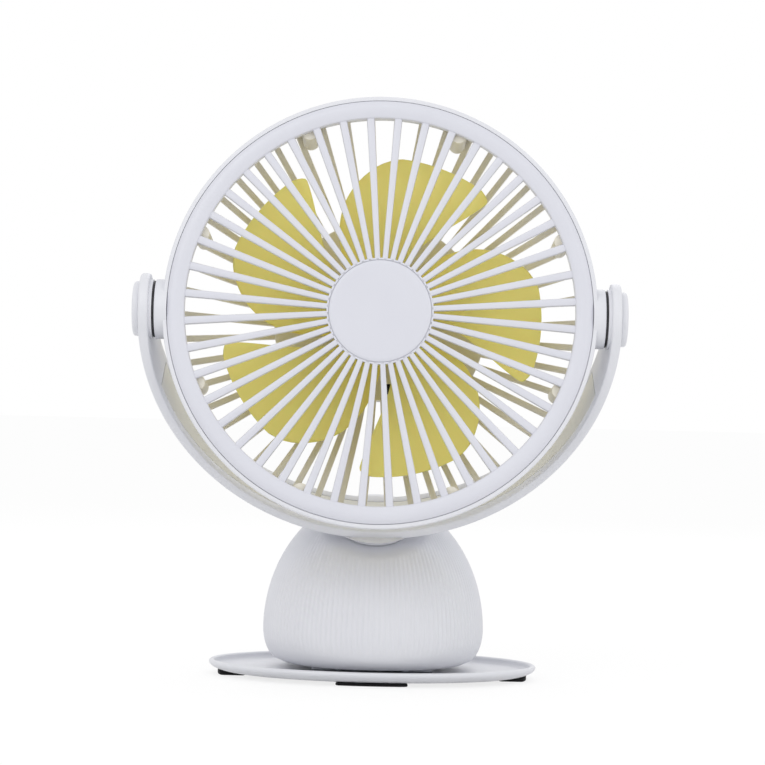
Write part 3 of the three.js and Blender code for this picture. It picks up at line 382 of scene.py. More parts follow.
# %% Turn an outline of (radius, place, easing) round X, Y or Z
def turned(outline, sides, axis="y", steps=4, loop=False):
    """The outline starts and ends on the axis, or it is a closed loop beside it."""
    turns = np.linspace(0, math.tau, sides, endpoint=False)
    rings = []
    for radius, along in eased(outline, steps, loop):
        across = [radius * np.sin(turns), radius * np.cos(turns)]
        across.insert("xyz".index(axis), np.full(sides, along))
        rings.append(np.stack(across, 1))
    return skin(rings, round_trip=loop)


def moved(shape, x, y, z):
    points, faces = shape
    return points + np.array([x, y, z]), faces


def sided(side, outline):
    """The same outline on the left, -1, or on the right, 1."""
    return [(radius, side * x, *easing) for radius, x, *easing in outline]


def box_shape(low, high):
    (a, b, c), (d, e, f) = low, high
    return skin([[(a, y, c), (d, y, c), (d, y, f), (a, y, f)] for y in (b, e)])


# %% Put shapes together as one mesh, in millimetres
def draft(name, *shapes):
    """A Blender object from one or several (points, faces) shapes, faces turned outwards."""
    mesh = bpy.data.meshes.new(name)
    points, faces = [], []
    for shape_points, shape_faces in shapes:
        start = len(points)
        points += [tuple(point) for point in shape_points]
        faces += [tuple(i + start for i in face) for face in shape_faces]
    mesh.from_pydata(points, [], faces)
    built = bmesh.new()
    built.from_mesh(mesh)
    bmesh.ops.remove_doubles(built, verts=built.verts, dist=1e-4)
    bmesh.ops.recalc_face_normals(built, faces=built.faces)
    built.to_mesh(mesh)
    built.free()
    drafted = bpy.data.objects.new(name, mesh)
    bpy.context.scene.collection.objects.link(drafted)
    return drafted


def settle(drafted):
    """Applies the object's modifiers, and leaves one plain mesh."""
    ready = drafted.evaluated_get(bpy.context.evaluated_depsgraph_get())
    plain = bpy.data.meshes.new_from_object(ready)
    drafted.modifiers.clear()
    drafted.data = plain
    return drafted


def carve(drafted, *tools):
    """Cuts the tools from the draft, exactly, and removes them."""
    for tool in tools:
        cut = drafted.modifiers.new("cut", "BOOLEAN")
        cut.operation = "DIFFERENCE"
        cut.solver = "EXACT"
        cut.object = tool
    settle(drafted)
    for tool in tools:
        bpy.data.objects.remove(tool)
    return drafted


def paint(drafted, finish):
    drafted.data.materials.clear()
    drafted.data.materials.append(finish)
    return drafted


def merged(name, *drafts):
    """Several drafts as one object, each keeping its own finish."""
    built = bmesh.new()
    finishes = []
    for drafted in drafts:
        start = len(built.faces)
        built.from_mesh(drafted.data)
        built.faces.ensure_lookup_table()
        own = list(drafted.data.materials)
        for finish in own:
            if finish not in finishes:
                finishes.append(finish)
        for face in built.faces[start:]:
            if own:
                face.material_index = finishes.index(own[face.material_index])
        bpy.data.objects.remove(drafted)
    mesh = bpy.data.meshes.new(name)
    built.to_mesh(mesh)
    built.free()
    for finish in finishes:
        mesh.materials.append(finish)
    whole = bpy.data.objects.new(name, mesh)
    bpy.context.scene.collection.objects.link(whole)
    return whole


# %% Hand a finished part to the fan
def fit(drafted, place, body, slot, *nodes, finish=None, crisp=32):
    """Moves a part from its drawing place to the fan, smooths it, and lets it ride on a body."""
    mesh = drafted.data
    mesh.transform(place)
    if finish:
        paint(drafted, finish)
    mesh.shade_smooth()
    mesh.set_sharp_from_angle(angle=math.radians(crisp))
    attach(drafted, body)
    if nodes:
        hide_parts(*nodes)
    print(f"{drafted.name}: {len(mesh.polygons)} faces")
    return drafted


# %% [markdown]
# ## What repeats
# A fan head is mostly repetition: 44 spokes in front, 50 behind, 8 posts, 5 blades and some 230
# fine ribs. Copying by hand would fix their number for good. Geometry Nodes make the copies from
# one drafted piece instead, and the count, the first place and the finish stay inputs.

# %% A tree that copies a piece round the head's axis
def input_id(tree, label):
    """A modifier's input is reached by its identifier, which the label only stands for."""
    return next(item.identifier for item in tree.interface.items_tree
                if item.item_type == "SOCKET" and item.in_out == "INPUT" and item.name == label)


def new_copy_tree(name, inputs):
    tree = bpy.data.node_groups.new(name, "GeometryNodeTree")
    for label, kind in (("Piece", "Geometry"), *inputs, ("Finish", "Material")):
        tree.interface.new_socket(label, in_out="INPUT", socket_type=f"NodeSocket{kind}")
    tree.interface.new_socket("Copies", in_out="OUTPUT", socket_type="NodeSocketGeometry")
    return tree, add_node(tree, "NodeGroupInput").outputs


def close_copy_tree(tree, given, instances):
    real = add_node(tree, "GeometryNodeRealizeInstances", {"Geometry": instances.outputs[0]})
    painted = add_node(tree, "GeometryNodeSetMaterial", {
        "Geometry": real.outputs[0], "Material": given["Finish"]})
    add_node(tree, "NodeGroupOutput", {"Copies": painted.outputs[0]})


round_tree, given = new_copy_tree("copies round an axis", (("Count", "Int"), ("First", "Float")))
step = add_node(round_tree, "ShaderNodeMath", {0: math.tau, 1: given["Count"]},
                operation="DIVIDE")
turn = add_node(round_tree, "ShaderNodeMath", {
    0: add_node(round_tree, "GeometryNodeInputIndex").outputs[0], 1: step.outputs[0],
    2: given["First"]}, operation="MULTIPLY_ADD")
spin = add_node(round_tree, "FunctionNodeAxisAngleToRotation", {
    "Axis": (0, 1, 0), "Angle": turn.outputs[0]})
close_copy_tree(round_tree, given, add_node(round_tree, "GeometryNodeInstanceOnPoints", {
    "Points": add_node(round_tree, "GeometryNodePoints", {"Count": given["Count"]}).outputs[0],
    "Instance": given["Piece"], "Rotation": spin.outputs[0]}))

# %% And one that copies a piece along a line
line_tree, given = new_copy_tree("copies in a row", (("Count", "Int"), ("Step", "Vector")))
dots = add_node(line_tree, "GeometryNodeMeshLine", {
    "Count": given["Count"], "Start Location": (0, 0, 0), "Offset": given["Step"]})
close_copy_tree(line_tree, given, add_node(line_tree, "GeometryNodeInstanceOnPoints", {
    "Points": dots.outputs[0], "Instance": given["Piece"]}))


def run_tree(drafted, tree, finish, **values):
    """Runs one of the trees on a drafted piece. The inputs are set before it is evaluated."""
    growth = drafted.modifiers.new(tree.name, "NODES")
    growth.node_group = tree
    for label, value in {**values, "Finish": finish}.items():
        growth[input_id(tree, label)] = value
    settle(drafted)
    print(f"{drafted.name}: {values}, {len(drafted.data.polygons)} faces")
    return drafted


print("trees", [tree.name for tree in bpy.data.node_groups])

# %% [markdown]
# ## The front grille
# It is one moulding: a rounded ring, 44 slim spokes that widen outwards, and a flat disc that
# takes a cap. The spokes are straight and radial, and each has softened front edges, so each
# shows one light face between two thin shades. The ring and disc are turned from outlines.

# %% Front ring, disc and spokes
PIVOT_DEPTH = 10.4  # mm, the pivots behind the front of the ring
RING_OUTER = 74.2
RING_WIDTH = 6.2
RING_INNER = RING_OUTER - RING_WIDTH
RING_SIDES = 220
FRONT_SPOKES = 44
DISC_RADIUS = 18.7
PLATE_FRONT = 1.1
PLATE_THICK = 2.2


def head_turned(outline, sides, **how):
    """Turned round the head's axis, with depths measured back from the front of the ring."""
    return turned([(radius, depth - PIVOT_DEPTH, *easing) for radius, depth, *easing in outline],
                  sides, "y", **how)


def bar(stations):
    """A bar up the Z axis: at each station its radius, width, front and thickness, in mm."""
    rings = []
    for radius, width, front, thick in stations:
        half = width / 2
        section = eased([
            (-half, front, 0.28 * width), (half, front, 0.28 * width),
            (half, front + thick), (-half, front + thick)], steps=2)
        rings.append([(x, y - PIVOT_DEPTH, radius) for x, y in section])
    return skin(rings)


ring = draft("ring", head_turned([
    (RING_INNER, 0.75, 0.7), (RING_INNER + 2.3, 0, 2.2), (RING_OUTER - 1.6, 0, 1.6),
    (RING_OUTER, 1.0, 0.4), (RING_OUTER, 4.6, 0.3), (RING_OUTER - 1.6, 4.6, 0.3),
    (RING_OUTER - 1.6, 3.6), (RING_INNER, 3.6, 0.3)], RING_SIDES, steps=5, loop=True))
disc = draft("disc", head_turned([
    (0, 2.1), (18.0, 2.1), (18.0, PLATE_FRONT, 0.08), (DISC_RADIUS, PLATE_FRONT, 0.25),
    (DISC_RADIUS, PLATE_FRONT + PLATE_THICK, 0.2), (0, PLATE_FRONT + PLATE_THICK)], 120, steps=3))
front_spokes = run_tree(
    draft("front_spokes", bar([
        (DISC_RADIUS - 0.5, 1.9, PLATE_FRONT, PLATE_THICK),
        (RING_INNER + 1.0, 2.8, PLATE_FRONT, PLATE_THICK)])),
    round_tree, head_abs_painted_shade, Count=FRONT_SPOKES, First=math.pi / FRONT_SPOKES)
front_grille = merged("front_grille_moulding", ring, disc, front_spokes)
fit(front_grille, head_place, "head_body", "white_head", "front_grille", finish=head_abs_painted_shade)

# %% [markdown]
# The cap in the disc is bare: a shallow dished face, just proud of its seat, whose thin dark
# joint shows most along the lower edge.

# %% Grille cap
grille_cap = draft("grille_disc_cap", head_turned([
    (0, 0.85), (9, 0.82), (17.0, 0.75, 0.6), (17.92, 1.1, 0.3), (17.92, 1.8, 0.1), (0, 1.8)],
    120))
fit(grille_cap, head_place, "head_body", "white_head", "grille_cap", finish=head_abs_painted_shade)

# %% [markdown]
# ## The rear housing
# Behind the ring a barrel goes straight back and then rounds in. A narrow plain lip surrounds the
# ring, and behind the lip the outside is covered with fine ribs, which give the fan's edge its
# milled look. The ribs are half-sunk bars that follow the barrel's outline.

# %% Barrel
LIP_RADIUS = RING_OUTER + 1.6
LIP_BACK = 5.6
TURN_RADIUS = LIP_RADIUS - 1.2
TURN_DEPTH = 19.0
BACK_RADIUS = LIP_RADIUS - 2.4
BARREL_DEPTH = 23.0
RIM_INNER = BACK_RADIUS - 1.7
LIP_GAP = 0.12
RING_SEAT = 4.9  # the depth of the ledge that the ring lies on

barrel = draft("barrel", head_turned([
    (RING_OUTER + LIP_GAP, 1.1, 0.12), (LIP_RADIUS, 1.1, 0.55), (LIP_RADIUS, LIP_BACK, 0.4),
    (LIP_RADIUS - 0.6, LIP_BACK + 0.5, 0.2), (TURN_RADIUS, TURN_DEPTH, 3.0),
    (BACK_RADIUS, BARREL_DEPTH, 0.9), (RIM_INNER, BARREL_DEPTH, 0.5),
    (RIM_INNER + 0.4, TURN_DEPTH, 2.0), (RING_OUTER - 1.6, RING_SEAT),
    (RING_OUTER + LIP_GAP, RING_SEAT)], RING_SIDES, steps=5, loop=True))

# %% Barrel ribs
BARREL_RIBS = 230
RIB_WIDTH = 1.15
RIB_PROUD = 0.32


def barrel_radius(depth):
    """The barrel's outside at a depth, on the two straight runs behind its lip."""
    return float(np.interp(
        depth, [LIP_BACK + 0.5, TURN_DEPTH, BARREL_DEPTH],
        [LIP_RADIUS - 0.6, TURN_RADIUS, BACK_RADIUS]))


def rib_rings():
    rings = []
    for depth in (LIP_BACK + 0.2, 10, 14, 17, 18.5, 20, 21.5):
        radius = barrel_radius(depth) - (0.12 if depth == 18.5 else 0.0)
        crown = RIB_PROUD * min(1.0, (22.0 - depth) / 2)
        rings.append([
            (x * RIB_WIDTH / 2, depth - PIVOT_DEPTH, radius + up)
            for x, up in ((-1, -0.4), (-0.95, -0.05), (-0.45, crown * 0.8), (0, crown),
                          (0.45, crown * 0.8), (0.95, -0.05), (1, -0.4))])
    return rings


ribs = run_tree(draft("ribs", skin(rib_rings())), round_tree, white_abs,
                Count=BARREL_RIBS, First=0.0)

# %% [markdown]
# Fifty flat spokes lean back from the barrel's rim to the motor drum. Each one bends level just
# before the drum, so the same piece reaches the round side and the drum's flat lower side.

# %% Rear spokes
REAR_SPOKES = 50
DRUM_RADIUS = 38.5
DRUM_FRONT = 40.5
DRUM_BACK = 45.7
SPOKE_LEVEL = DRUM_BACK - 2.8
rear_spokes = run_tree(
    draft("rear_spokes", bar([
        (27.2, 2.0, SPOKE_LEVEL, 1.9), (DRUM_RADIUS - 0.5, 2.2, SPOKE_LEVEL, 1.9),
        (RIM_INNER + 0.7, 2.2, BARREL_DEPTH - 2.6, 2.0)])),
    round_tree, rear_abs_painted_warm_shade, Count=REAR_SPOKES, First=math.pi / REAR_SPOKES)

# %% [markdown]
# The drum is a shallow cup, cut flat below, and its side meets the cover behind it. Its front has
# three small square windows with a black sheet behind each; the black is painted shade, the dark
# of the drum's inside. The windows are cut with a Boolean, and the flat is made by holding every
# point of the turned shape above one level.

# %% Motor drum with its windows and sleeve
DRUM_FLAT = 27.5
DRUM_WALL = 1.6
DRUM_INSIDE = DRUM_RADIUS - DRUM_WALL
MOTOR_RADIUS = 12.0
MOTOR_HOLE = MOTOR_RADIUS + 0.3
WINDOW = 3.8
WINDOWS = ((-35.5, -0.5), (35.5, -0.5), (3.0, -23.4))


def flattened(shape, level):
    points, faces = shape
    points[:, 2] = np.maximum(points[:, 2], level)
    return points, faces


def window_boxes(front, back, room=0.0):
    """A box for each window, between two depths in the head."""
    half = WINDOW / 2 + room
    return [box_shape((x - half, front - PIVOT_DEPTH, z - half),
                      (x + half, back - PIVOT_DEPTH, z + half)) for x, z in WINDOWS]


cup = head_turned([
    (0, DRUM_FRONT), (DRUM_RADIUS, DRUM_FRONT, 1.3), (DRUM_RADIUS, DRUM_BACK, 0.3),
    (DRUM_INSIDE, DRUM_BACK), (DRUM_INSIDE, DRUM_FRONT + DRUM_WALL),
    (0, DRUM_FRONT + DRUM_WALL)], 160)
inside = np.hypot(cup[0][:, 0], cup[0][:, 2]) < DRUM_INSIDE + 0.01
inside &= cup[0][:, 1] > DRUM_FRONT + 0.5 - PIVOT_DEPTH
drum = draft("drum", flattened(cup, np.where(inside, DRUM_WALL - DRUM_FLAT, -DRUM_FLAT)))
mouth = draft("mouth", head_turned([
    (0, DRUM_FRONT - 1), (MOTOR_HOLE, DRUM_FRONT - 1), (MOTOR_HOLE, DRUM_FRONT + 3),
    (0, DRUM_FRONT + 3)], 64))
carve(drum, mouth, *[draft("window", box)
                     for box in window_boxes(DRUM_FRONT - 1, DRUM_FRONT + 3)])
sleeve = draft("sleeve", head_turned([
    (MOTOR_HOLE, 32, 0.3), (MOTOR_HOLE + 1.6, 32, 0.5), (MOTOR_HOLE + 1.6, DRUM_FRONT + 1),
    (MOTOR_HOLE, DRUM_FRONT + 1)], 64, loop=True))

# %% [markdown]
# Eight posts join the two grilles just inside the barrel, each with a web to the barrel's wall.
# A post is hollow behind for its screw. A round boss on each side takes the pivot.

# %% Posts and pivot bosses
POSTS = 8
POST_RADIUS = 2.9
POST_CIRCLE = RING_OUTER - 5.8
POST_BORE = 1.35
POST_FRONT = 3.9
BOSS_RADIUS = 10.5
BOSS_FACE = LIP_RADIUS + 2.9
SCREW_BORE = 2.25
BOSS_FOOT = 73.6  # mm from the head's axis, in the barrel's wall
SPIGOT_RADIUS, SPIGOT_END = 4.2, 69.4

post = moved(head_turned([
    (0, POST_FRONT), (POST_RADIUS, POST_FRONT, 0.4), (POST_RADIUS, BARREL_DEPTH, 0.3),
    (POST_BORE, BARREL_DEPTH), (POST_BORE, 9), (0, 9)], 24, steps=3), 0, 0, POST_CIRCLE)
web = bar([(radius, 1.8, 7.0, BARREL_DEPTH - 7.4)
           for radius in (POST_CIRCLE + 1.5, RIM_INNER + 0.9)])
posts = run_tree(draft("posts", post, web), round_tree, rear_abs_painted_warm_shade,
                 Count=POSTS, First=math.pi / POSTS)


def pivot_boss(side):
    return turned(sided(side, [
        (SCREW_BORE, BOSS_FACE, 0.2), (BOSS_RADIUS, BOSS_FACE, 0.6), (BOSS_RADIUS, BOSS_FOOT),
        (SPIGOT_RADIUS, BOSS_FOOT), (SPIGOT_RADIUS, SPIGOT_END, 0.3),
        (SCREW_BORE, SPIGOT_END, 0.3)]), 72, "x", loop=True)


bosses = draft("bosses", pivot_boss(-1), pivot_boss(1))
seat = draft("seat", head_turned([
    (0, -4), (RING_OUTER + LIP_GAP, -4), (RING_OUTER + LIP_GAP, RING_SEAT), (0, RING_SEAT)],
    RING_SIDES))
carve(bosses, seat)

rear_housing = merged(
    "rear_housing_moulding", paint(barrel, white_abs), ribs, rear_spokes,
    paint(drum, rear_abs_painted_warm_shade), paint(sleeve, rear_abs_painted_warm_shade), posts, paint(bosses, white_abs))
fit(rear_housing, head_place, "head_body", "white_base", "rear_housing")

# %% Black sheets behind the windows: painted shade of the drum's inside
SHADE_SHEET_THICK = 1.9
SHADE_SHEET_PAST = 0.3  # mm past the window on every side, and into the drum's wall
shade_sheet_front = DRUM_FRONT + DRUM_WALL - SHADE_SHEET_PAST
window_shade_sheets = draft("window_shade_sheets", *window_boxes(shade_sheet_front, shade_sheet_front + SHADE_SHEET_THICK, SHADE_SHEET_PAST))
fit(window_shade_sheets, head_place, "head_body", "black_rubber", finish=black_rubber)

# %% [markdown]
# Small pan-head screws close the housing from behind, one in the end of each post. The cross
# recess is a ring of points that alternates between a wide and a narrow radius.

# %% Housing screws
def screw_head(radius, height):
    """A pan head that faces up the Z axis, with its foot at nought."""
    turns = np.linspace(0, math.tau, 24, endpoint=False)
    arms = np.where(np.arange(24) % 6 < 2, 0.55, 0.18) * radius
    rings = []
    for reach, up in ((radius, -0.6), (radius, 0.35 * height), (0.93 * radius, 0.7 * height),
                      (0.72 * radius, height)):
        rings.append([(reach * math.sin(t), reach * math.cos(t), up) for t in turns])
    for up in (height, 0.25 * height):
        rings.append([(a * math.sin(t), a * math.cos(t), up) for a, t in zip(arms, turns)])
    return skin(rings)


points, faces = screw_head(1.7, 1.0)
housing_screws = run_tree(
    draft("housing_screws", moved((points[:, [0, 2, 1]], faces), 0, BARREL_DEPTH - PIVOT_DEPTH,
                                  POST_CIRCLE)),
    round_tree, zinc_steel, Count=POSTS, First=math.pi / POSTS)
fit(housing_screws, head_place, "head_body", "steel")

# %% [markdown]
# ## Motor and cover
# A low cover with the drum's outline closes it behind. Its one shallow step and rounded rim keep
# it from looking like a plain plate. The motor is a small can, and its shaft ends in the hub.

# %% Motor cover, can and shaft
cover = head_turned([
    (0, DRUM_BACK + 0.3), (DRUM_RADIUS, DRUM_BACK + 0.3, 0.2), (DRUM_RADIUS, DRUM_BACK + 1.2, 0.5),
    (35.6, DRUM_BACK + 2.5, 1.5), (24.0, DRUM_BACK + 2.9, 0.4), (23.2, DRUM_BACK + 2.5, 0.3),
    (22.0, DRUM_BACK + 2.5, 0.3), (21.2, DRUM_BACK + 3.1, 0.4), (0, DRUM_BACK + 3.45)], 160)
motor_cover = draft("motor_cover_moulding", flattened(cover, -DRUM_FLAT))
fit(motor_cover, head_place, "head_body", "white_base", "motor_cover", finish=white_abs)

can = draft("motor_case", head_turned([
    (0, 27.5), (3.4, 27.5, 0.2), (3.4, 28.1, 0.2), (MOTOR_RADIUS, 28.1, 1.0),
    (MOTOR_RADIUS, 43.4, 0.4), (0, 43.4)], 64))
fit(can, head_place, "head_body", "motor_case", "motor_can", finish=zinc_steel)

shaft = draft("steel_shaft", head_turned([
    (0, 9.8), (1.0, 9.8, 0.25), (1.0, 27.2, 0.1), (0, 27.2)], 24))
fit(shaft, head_place, "impeller_body", "steel", "motor_shaft", finish=zinc_steel)

# %% [markdown]
# ## The impeller
# Five broad blades grow from a cup-shaped hub. Each blade is a thin twisted sheet whose outline,
# pitch and bow are rules of the radius, so it is computed as sections from root to tip and then
# copied five times. Yellow polypropylene lets a little light through, so its shadows stay warm.

# %% Blade sections
BLADES = 5
BLADE_TIP = 57.2
HUB_RADIUS = 17.0
BLADE_FRONT = 11.5
BLADE_PITCH = 0.158  # mm of depth in each degree round
BLADE_BOW = 1.1
BLADE_THICK = 1.3
FIRST_BLADE = 44.5  # degrees clockwise from the top


def blade_edges(radius):
    """The two edges, in degrees round from the blade's first corner."""
    share = (radius - HUB_RADIUS) / (BLADE_TIP - HUB_RADIUS)
    swept = 83 - 27 * share - 15 * max(0.0, share) ** 4.25
    straight = 2.0 + 24 * max(0.0, 1 - share) ** 1.8
    corner = max(0.0, (share - 0.93) / 0.07) ** 2.4
    return straight + 5 * corner, swept - 3 * corner


def blade_section(radius):
    start, end = blade_edges(radius)
    chord = (1 - np.cos(np.linspace(0, math.pi, 26))) / 2
    thin = 1.5 / max(0.1, math.radians(end - start) * radius)
    half = BLADE_THICK / 2 * np.sqrt(np.clip(
        np.minimum(chord, 1 - chord) / thin, 0, 1)) * (0.75 + 0.25 * np.sin(math.pi * chord))
    section = []
    for side, order in ((-1, range(26)), (1, range(24, 0, -1))):
        for k in order:
            back = start + (end - start) * chord[k]
            turn = math.radians(FIRST_BLADE - back)
            depth = (BLADE_FRONT + BLADE_PITCH * back + side * half[k]
                     + BLADE_BOW * math.sin(math.pi * chord[k]) - PIVOT_DEPTH)
            section.append((radius * math.sin(turn), depth, radius * math.cos(turn)))
    return section


blade_shares = [*np.linspace(-0.02, 0.9, 22), 0.93, 0.955, 0.972, 0.984, 0.993, 0.9985]
blades = run_tree(
    draft("blades", skin([
        blade_section(HUB_RADIUS + share * (BLADE_TIP - HUB_RADIUS)) for share in blade_shares])),
    round_tree, blade_pp, Count=BLADES, First=0.0)

# %% Hub
HUB_BACK = 24.6
HUB_INSIDE = HUB_RADIUS - 1.5
SLEEVE_RADIUS = 3.6
hub = draft("hub", head_turned([
    (0, 8.5), (HUB_RADIUS, 8.9, 1.8), (HUB_RADIUS, HUB_BACK, 0.4), (HUB_INSIDE, HUB_BACK, 0.4),
    (HUB_INSIDE, 11.1, 0.8), (SLEEVE_RADIUS, 11.1, 0.4), (SLEEVE_RADIUS, 26.7, 0.3),
    (1.25, 26.7), (1.25, 9.6), (0, 9.6)], 96))
impeller = merged("yellow_impeller", blades, hub)
fit(impeller, head_place, "impeller_body", "yellow_blade", "impeller", finish=blade_pp)

# %% [markdown]
# ## The yoke
# The yoke is a half ellipse of moulded plastic, 25 mm wide. A strip is set flush in its inner
# face; the strip's warm grey is painted shade, for that face is in shade and tinted by reflected
# light. A section is drawn once and carried round the half ellipse. Its inner face drops by the
# strip's thickness between the two arms, and runs level at their ends.

# %% Yoke band
BOSS_GAP = 0.85  # mm, a washer with its room on each side
ARM_BOSS = 1.05  # the height of the boss inside each arm
ARM_INSIDE = BOSS_FACE + BOSS_GAP + ARM_BOSS
ARM_THICK = 3.5
ARM_WIDTH = 25.0
ARM_OUTSIDE = ARM_INSIDE + ARM_THICK
YOKE_DROP = LIP_RADIUS + 6.2
NECK_LENGTH = YOKE_DROP + ARM_THICK + 3.0
SHADE_STRIP_WIDTH = 17.0
SHADE_STRIP_THICK = 1.0
SHADE_STRIP_ARC = 72.0  # degrees each way from the neck
STEM_RADIUS = 6.0
STEM_LENGTH = 8.5
RUN_GAP = 0.25  # mm, between parts that turn or slide in each other


def on_band(turn, reach, across):
    """A point at an angle from straight down, out from the inner face, and across the width."""
    return ((ARM_INSIDE + reach) * math.sin(turn), across, -(YOKE_DROP + reach) * math.cos(turn))


def band(section_at, arc, steps):
    rings = []
    for turn in np.radians(np.linspace(-arc, arc, steps)):
        rings.append([on_band(turn, reach, across) for reach, across in section_at(turn)])
    return skin(rings)


def yoke_section(turn):
    half = ARM_WIDTH / 2
    groove = SHADE_STRIP_WIDTH / 2 + 0.3
    past = abs(math.degrees(turn)) - SHADE_STRIP_ARC
    sunk = (SHADE_STRIP_THICK + 0.3) * min(1.0, max(0.0, -past / 0.7))
    return eased([
        (ARM_THICK, -half, 1.1), (ARM_THICK, half, 1.1), (0, half, 0.9), (0, groove, 0.15),
        (sunk, groove - 0.01, 0.1), (sunk, 0.01 - groove, 0.1), (0, -groove, 0.15),
        (0, -half, 0.9)], steps=3)


yoke_band = draft("yoke_band", band(yoke_section, 90, 181))

# %% [markdown]
# Each arm ends in a full round with a shallow seat for its cap outside and a thin boss inside.
# The neck flares into the band with a curve, and ends in a flat foot that turns on the dome.

# %% Arm ends and neck
def arm_end(side):
    half = ARM_WIDTH / 2
    face = ARM_INSIDE - ARM_BOSS
    return turned(sided(side, [
        (0, face), (BOSS_RADIUS, face, 0.3), (BOSS_RADIUS, ARM_INSIDE, 0.2),
        (half, ARM_INSIDE, 0.9), (half, ARM_OUTSIDE, 1.1), (10.0, ARM_OUTSIDE, 0.2),
        (8.5, ARM_OUTSIDE, 0.1), (8.5, ARM_OUTSIDE - 1.3), (0, ARM_OUTSIDE - 1.3)]), 96, "x")


neck_top = -(YOKE_DROP + ARM_THICK)
neck_foot = 0.3 - NECK_LENGTH
neck = turned([
    (0, neck_top + 1.2), (16.5, neck_top + 1.2), (15.6, neck_top + 0.1, 0.5),
    (12.6, neck_top - 0.4, 1.2), (12.5, neck_foot + 0.4, 0.3), (12.1, neck_foot, 0.2),
    (STEM_RADIUS, neck_foot, 0.2), (STEM_RADIUS, neck_foot - STEM_LENGTH, 0.4),
    (0, neck_foot - STEM_LENGTH)], 96, "z", steps=5)
yoke = merged("yoke_moulding", yoke_band, draft("ends", arm_end(-1), arm_end(1)),
              draft("neck", neck))
fit(yoke, yoke_place, "yoke_body", "white_base", "yoke", finish=white_abs)

# %% Strip of painted shade on the yoke's inner face
def shade_strip_section(turn):
    half = SHADE_STRIP_WIDTH / 2
    return eased([(0, -half, 0.25), (SHADE_STRIP_THICK, -half), (SHADE_STRIP_THICK, half),
                  (0, half, 0.25)], steps=3)


# The strip's warm grey stands in for shade: it is painted shade on the yoke's inner face.
shade_strip = draft("yoke_inner_shade_strip", band(shade_strip_section, SHADE_STRIP_ARC - 0.3, 145))
fit(shade_strip, yoke_place, "yoke_body", "grey_inner", "yoke_liner", finish=inner_face_shade_abs)

# %% [markdown]
# ## Pivots
# A steel screw passes each arm into the head, with a nylon washer between the two bosses. The
# washer's black is painted shade: it makes the thin dark line of the narrow gap beside the head.
# A dished plastic cap hides the screw.

# %% Caps and washers
CAP_RADIUS = 9.6
for side, hand in ((-1, "left"), (1, "right")):
    cap = draft(f"pivot_cap_{hand}_moulding", turned(sided(side, [
        (0, ARM_OUTSIDE - 0.9), (8.2, ARM_OUTSIDE - 0.9, 0.3), (8.2, ARM_OUTSIDE + 0.2),
        (CAP_RADIUS, ARM_OUTSIDE + 0.2, 0.2), (CAP_RADIUS, ARM_OUTSIDE + 2.4, 1.3),
        (6.4, ARM_OUTSIDE + 2.35, 0.5), (5.2, ARM_OUTSIDE + 1.9, 1.0),
        (0, ARM_OUTSIDE + 1.75)]), 96, "x", steps=5))
    fit(cap, yoke_place, "yoke_body", "white_base", f"pivot_cap_{hand}", finish=white_abs)
    near, far = BOSS_FACE + 0.2, BOSS_FACE + 0.65
    washer = draft(f"nylon_washer_{hand}", turned(sided(side, [
        (SCREW_BORE, near, 0.1), (9.9, near, 0.15), (9.9, far, 0.15), (SCREW_BORE, far, 0.1)]),
        72, "x", steps=2, loop=True))
    fit(washer, yoke_place, "yoke_body", "dark_nylon", f"pivot_washer_{hand}",
        finish=black_nylon_and_gap_shade)

# %% [markdown]
# ## The fluted dome
# The dome is the clip's upper jaw and holds the cell. Its form is half an egg whose top leans
# back, with a rounded lower edge. A flat seat for the neck is cut across its front slope, the
# heel behind the hinge rises so that the clip can open, and fine flutes run down from near the
# top. Every one of these is a rule, so the skin is computed column by column from the lower edge
# to the top.

# %% The dome's own sizes
TRAY_FLOOR = 3.0
PAD_SHEET, PAD_RIB = 0.5, 0.45
PAD_GAP = 0.25
DOME_BOTTOM = TRAY_FLOOR + 2 * (PAD_GAP + PAD_SHEET + PAD_RIB) + 0.2
DOME_WIDEST = 18.0
DOME_RISE = 49.5
DOME_HALF = (41.0, 40.0)
DOME_LEAN = 16.0
DOME_MIDDLE = -1.0
FOOT_INSET = 7.5
DOME_WALL = 2.2
HEEL_SLOPE = math.tan(math.radians(26))
FLUTES = 130
FLUTE_DEPTH = 0.36

into_clip = clip_place.inverted()
seat_centre = np.array(into_clip @ joint_place["yoke_swivel"])
lean = math.radians(YOKE_LEAN)
neck_axis = np.array([0.0, math.sin(lean), -math.cos(lean)])
print("neck seat", [round(float(v), 2) for v in seat_centre])


def ease(value, low, high):
    t = np.clip((value - low) / (high - low), 0, 1)
    return t * t * (3 - 2 * t)


def heel(y):
    return DOME_BOTTOM + max(0.0, y - HINGE_BACK) * HEEL_SLOPE


def dome_point(turn, height, inset):
    """A point of the dome, or of the hollow inside it, at an angle round and a height."""
    rise = max(0.0, height - DOME_WIDEST) / (DOME_RISE - inset)
    share = math.sqrt(max(0.0, 1 - rise * rise))
    below = min(1.0, max(0.0, (DOME_WIDEST - height) / (DOME_WIDEST - DOME_BOTTOM)))
    narrow = inset + FOOT_INSET * (1 - math.sqrt(1 - below * below))
    middle = DOME_MIDDLE + DOME_LEAN * (1 - share)
    return ((DOME_HALF[0] - narrow) * share * math.cos(turn),
            middle + (DOME_HALF[1] - narrow) * share * math.sin(turn), height)


# %% One column from the lower edge to the top
LOWER_ROWS = 10
UPPER_ROWS = 40


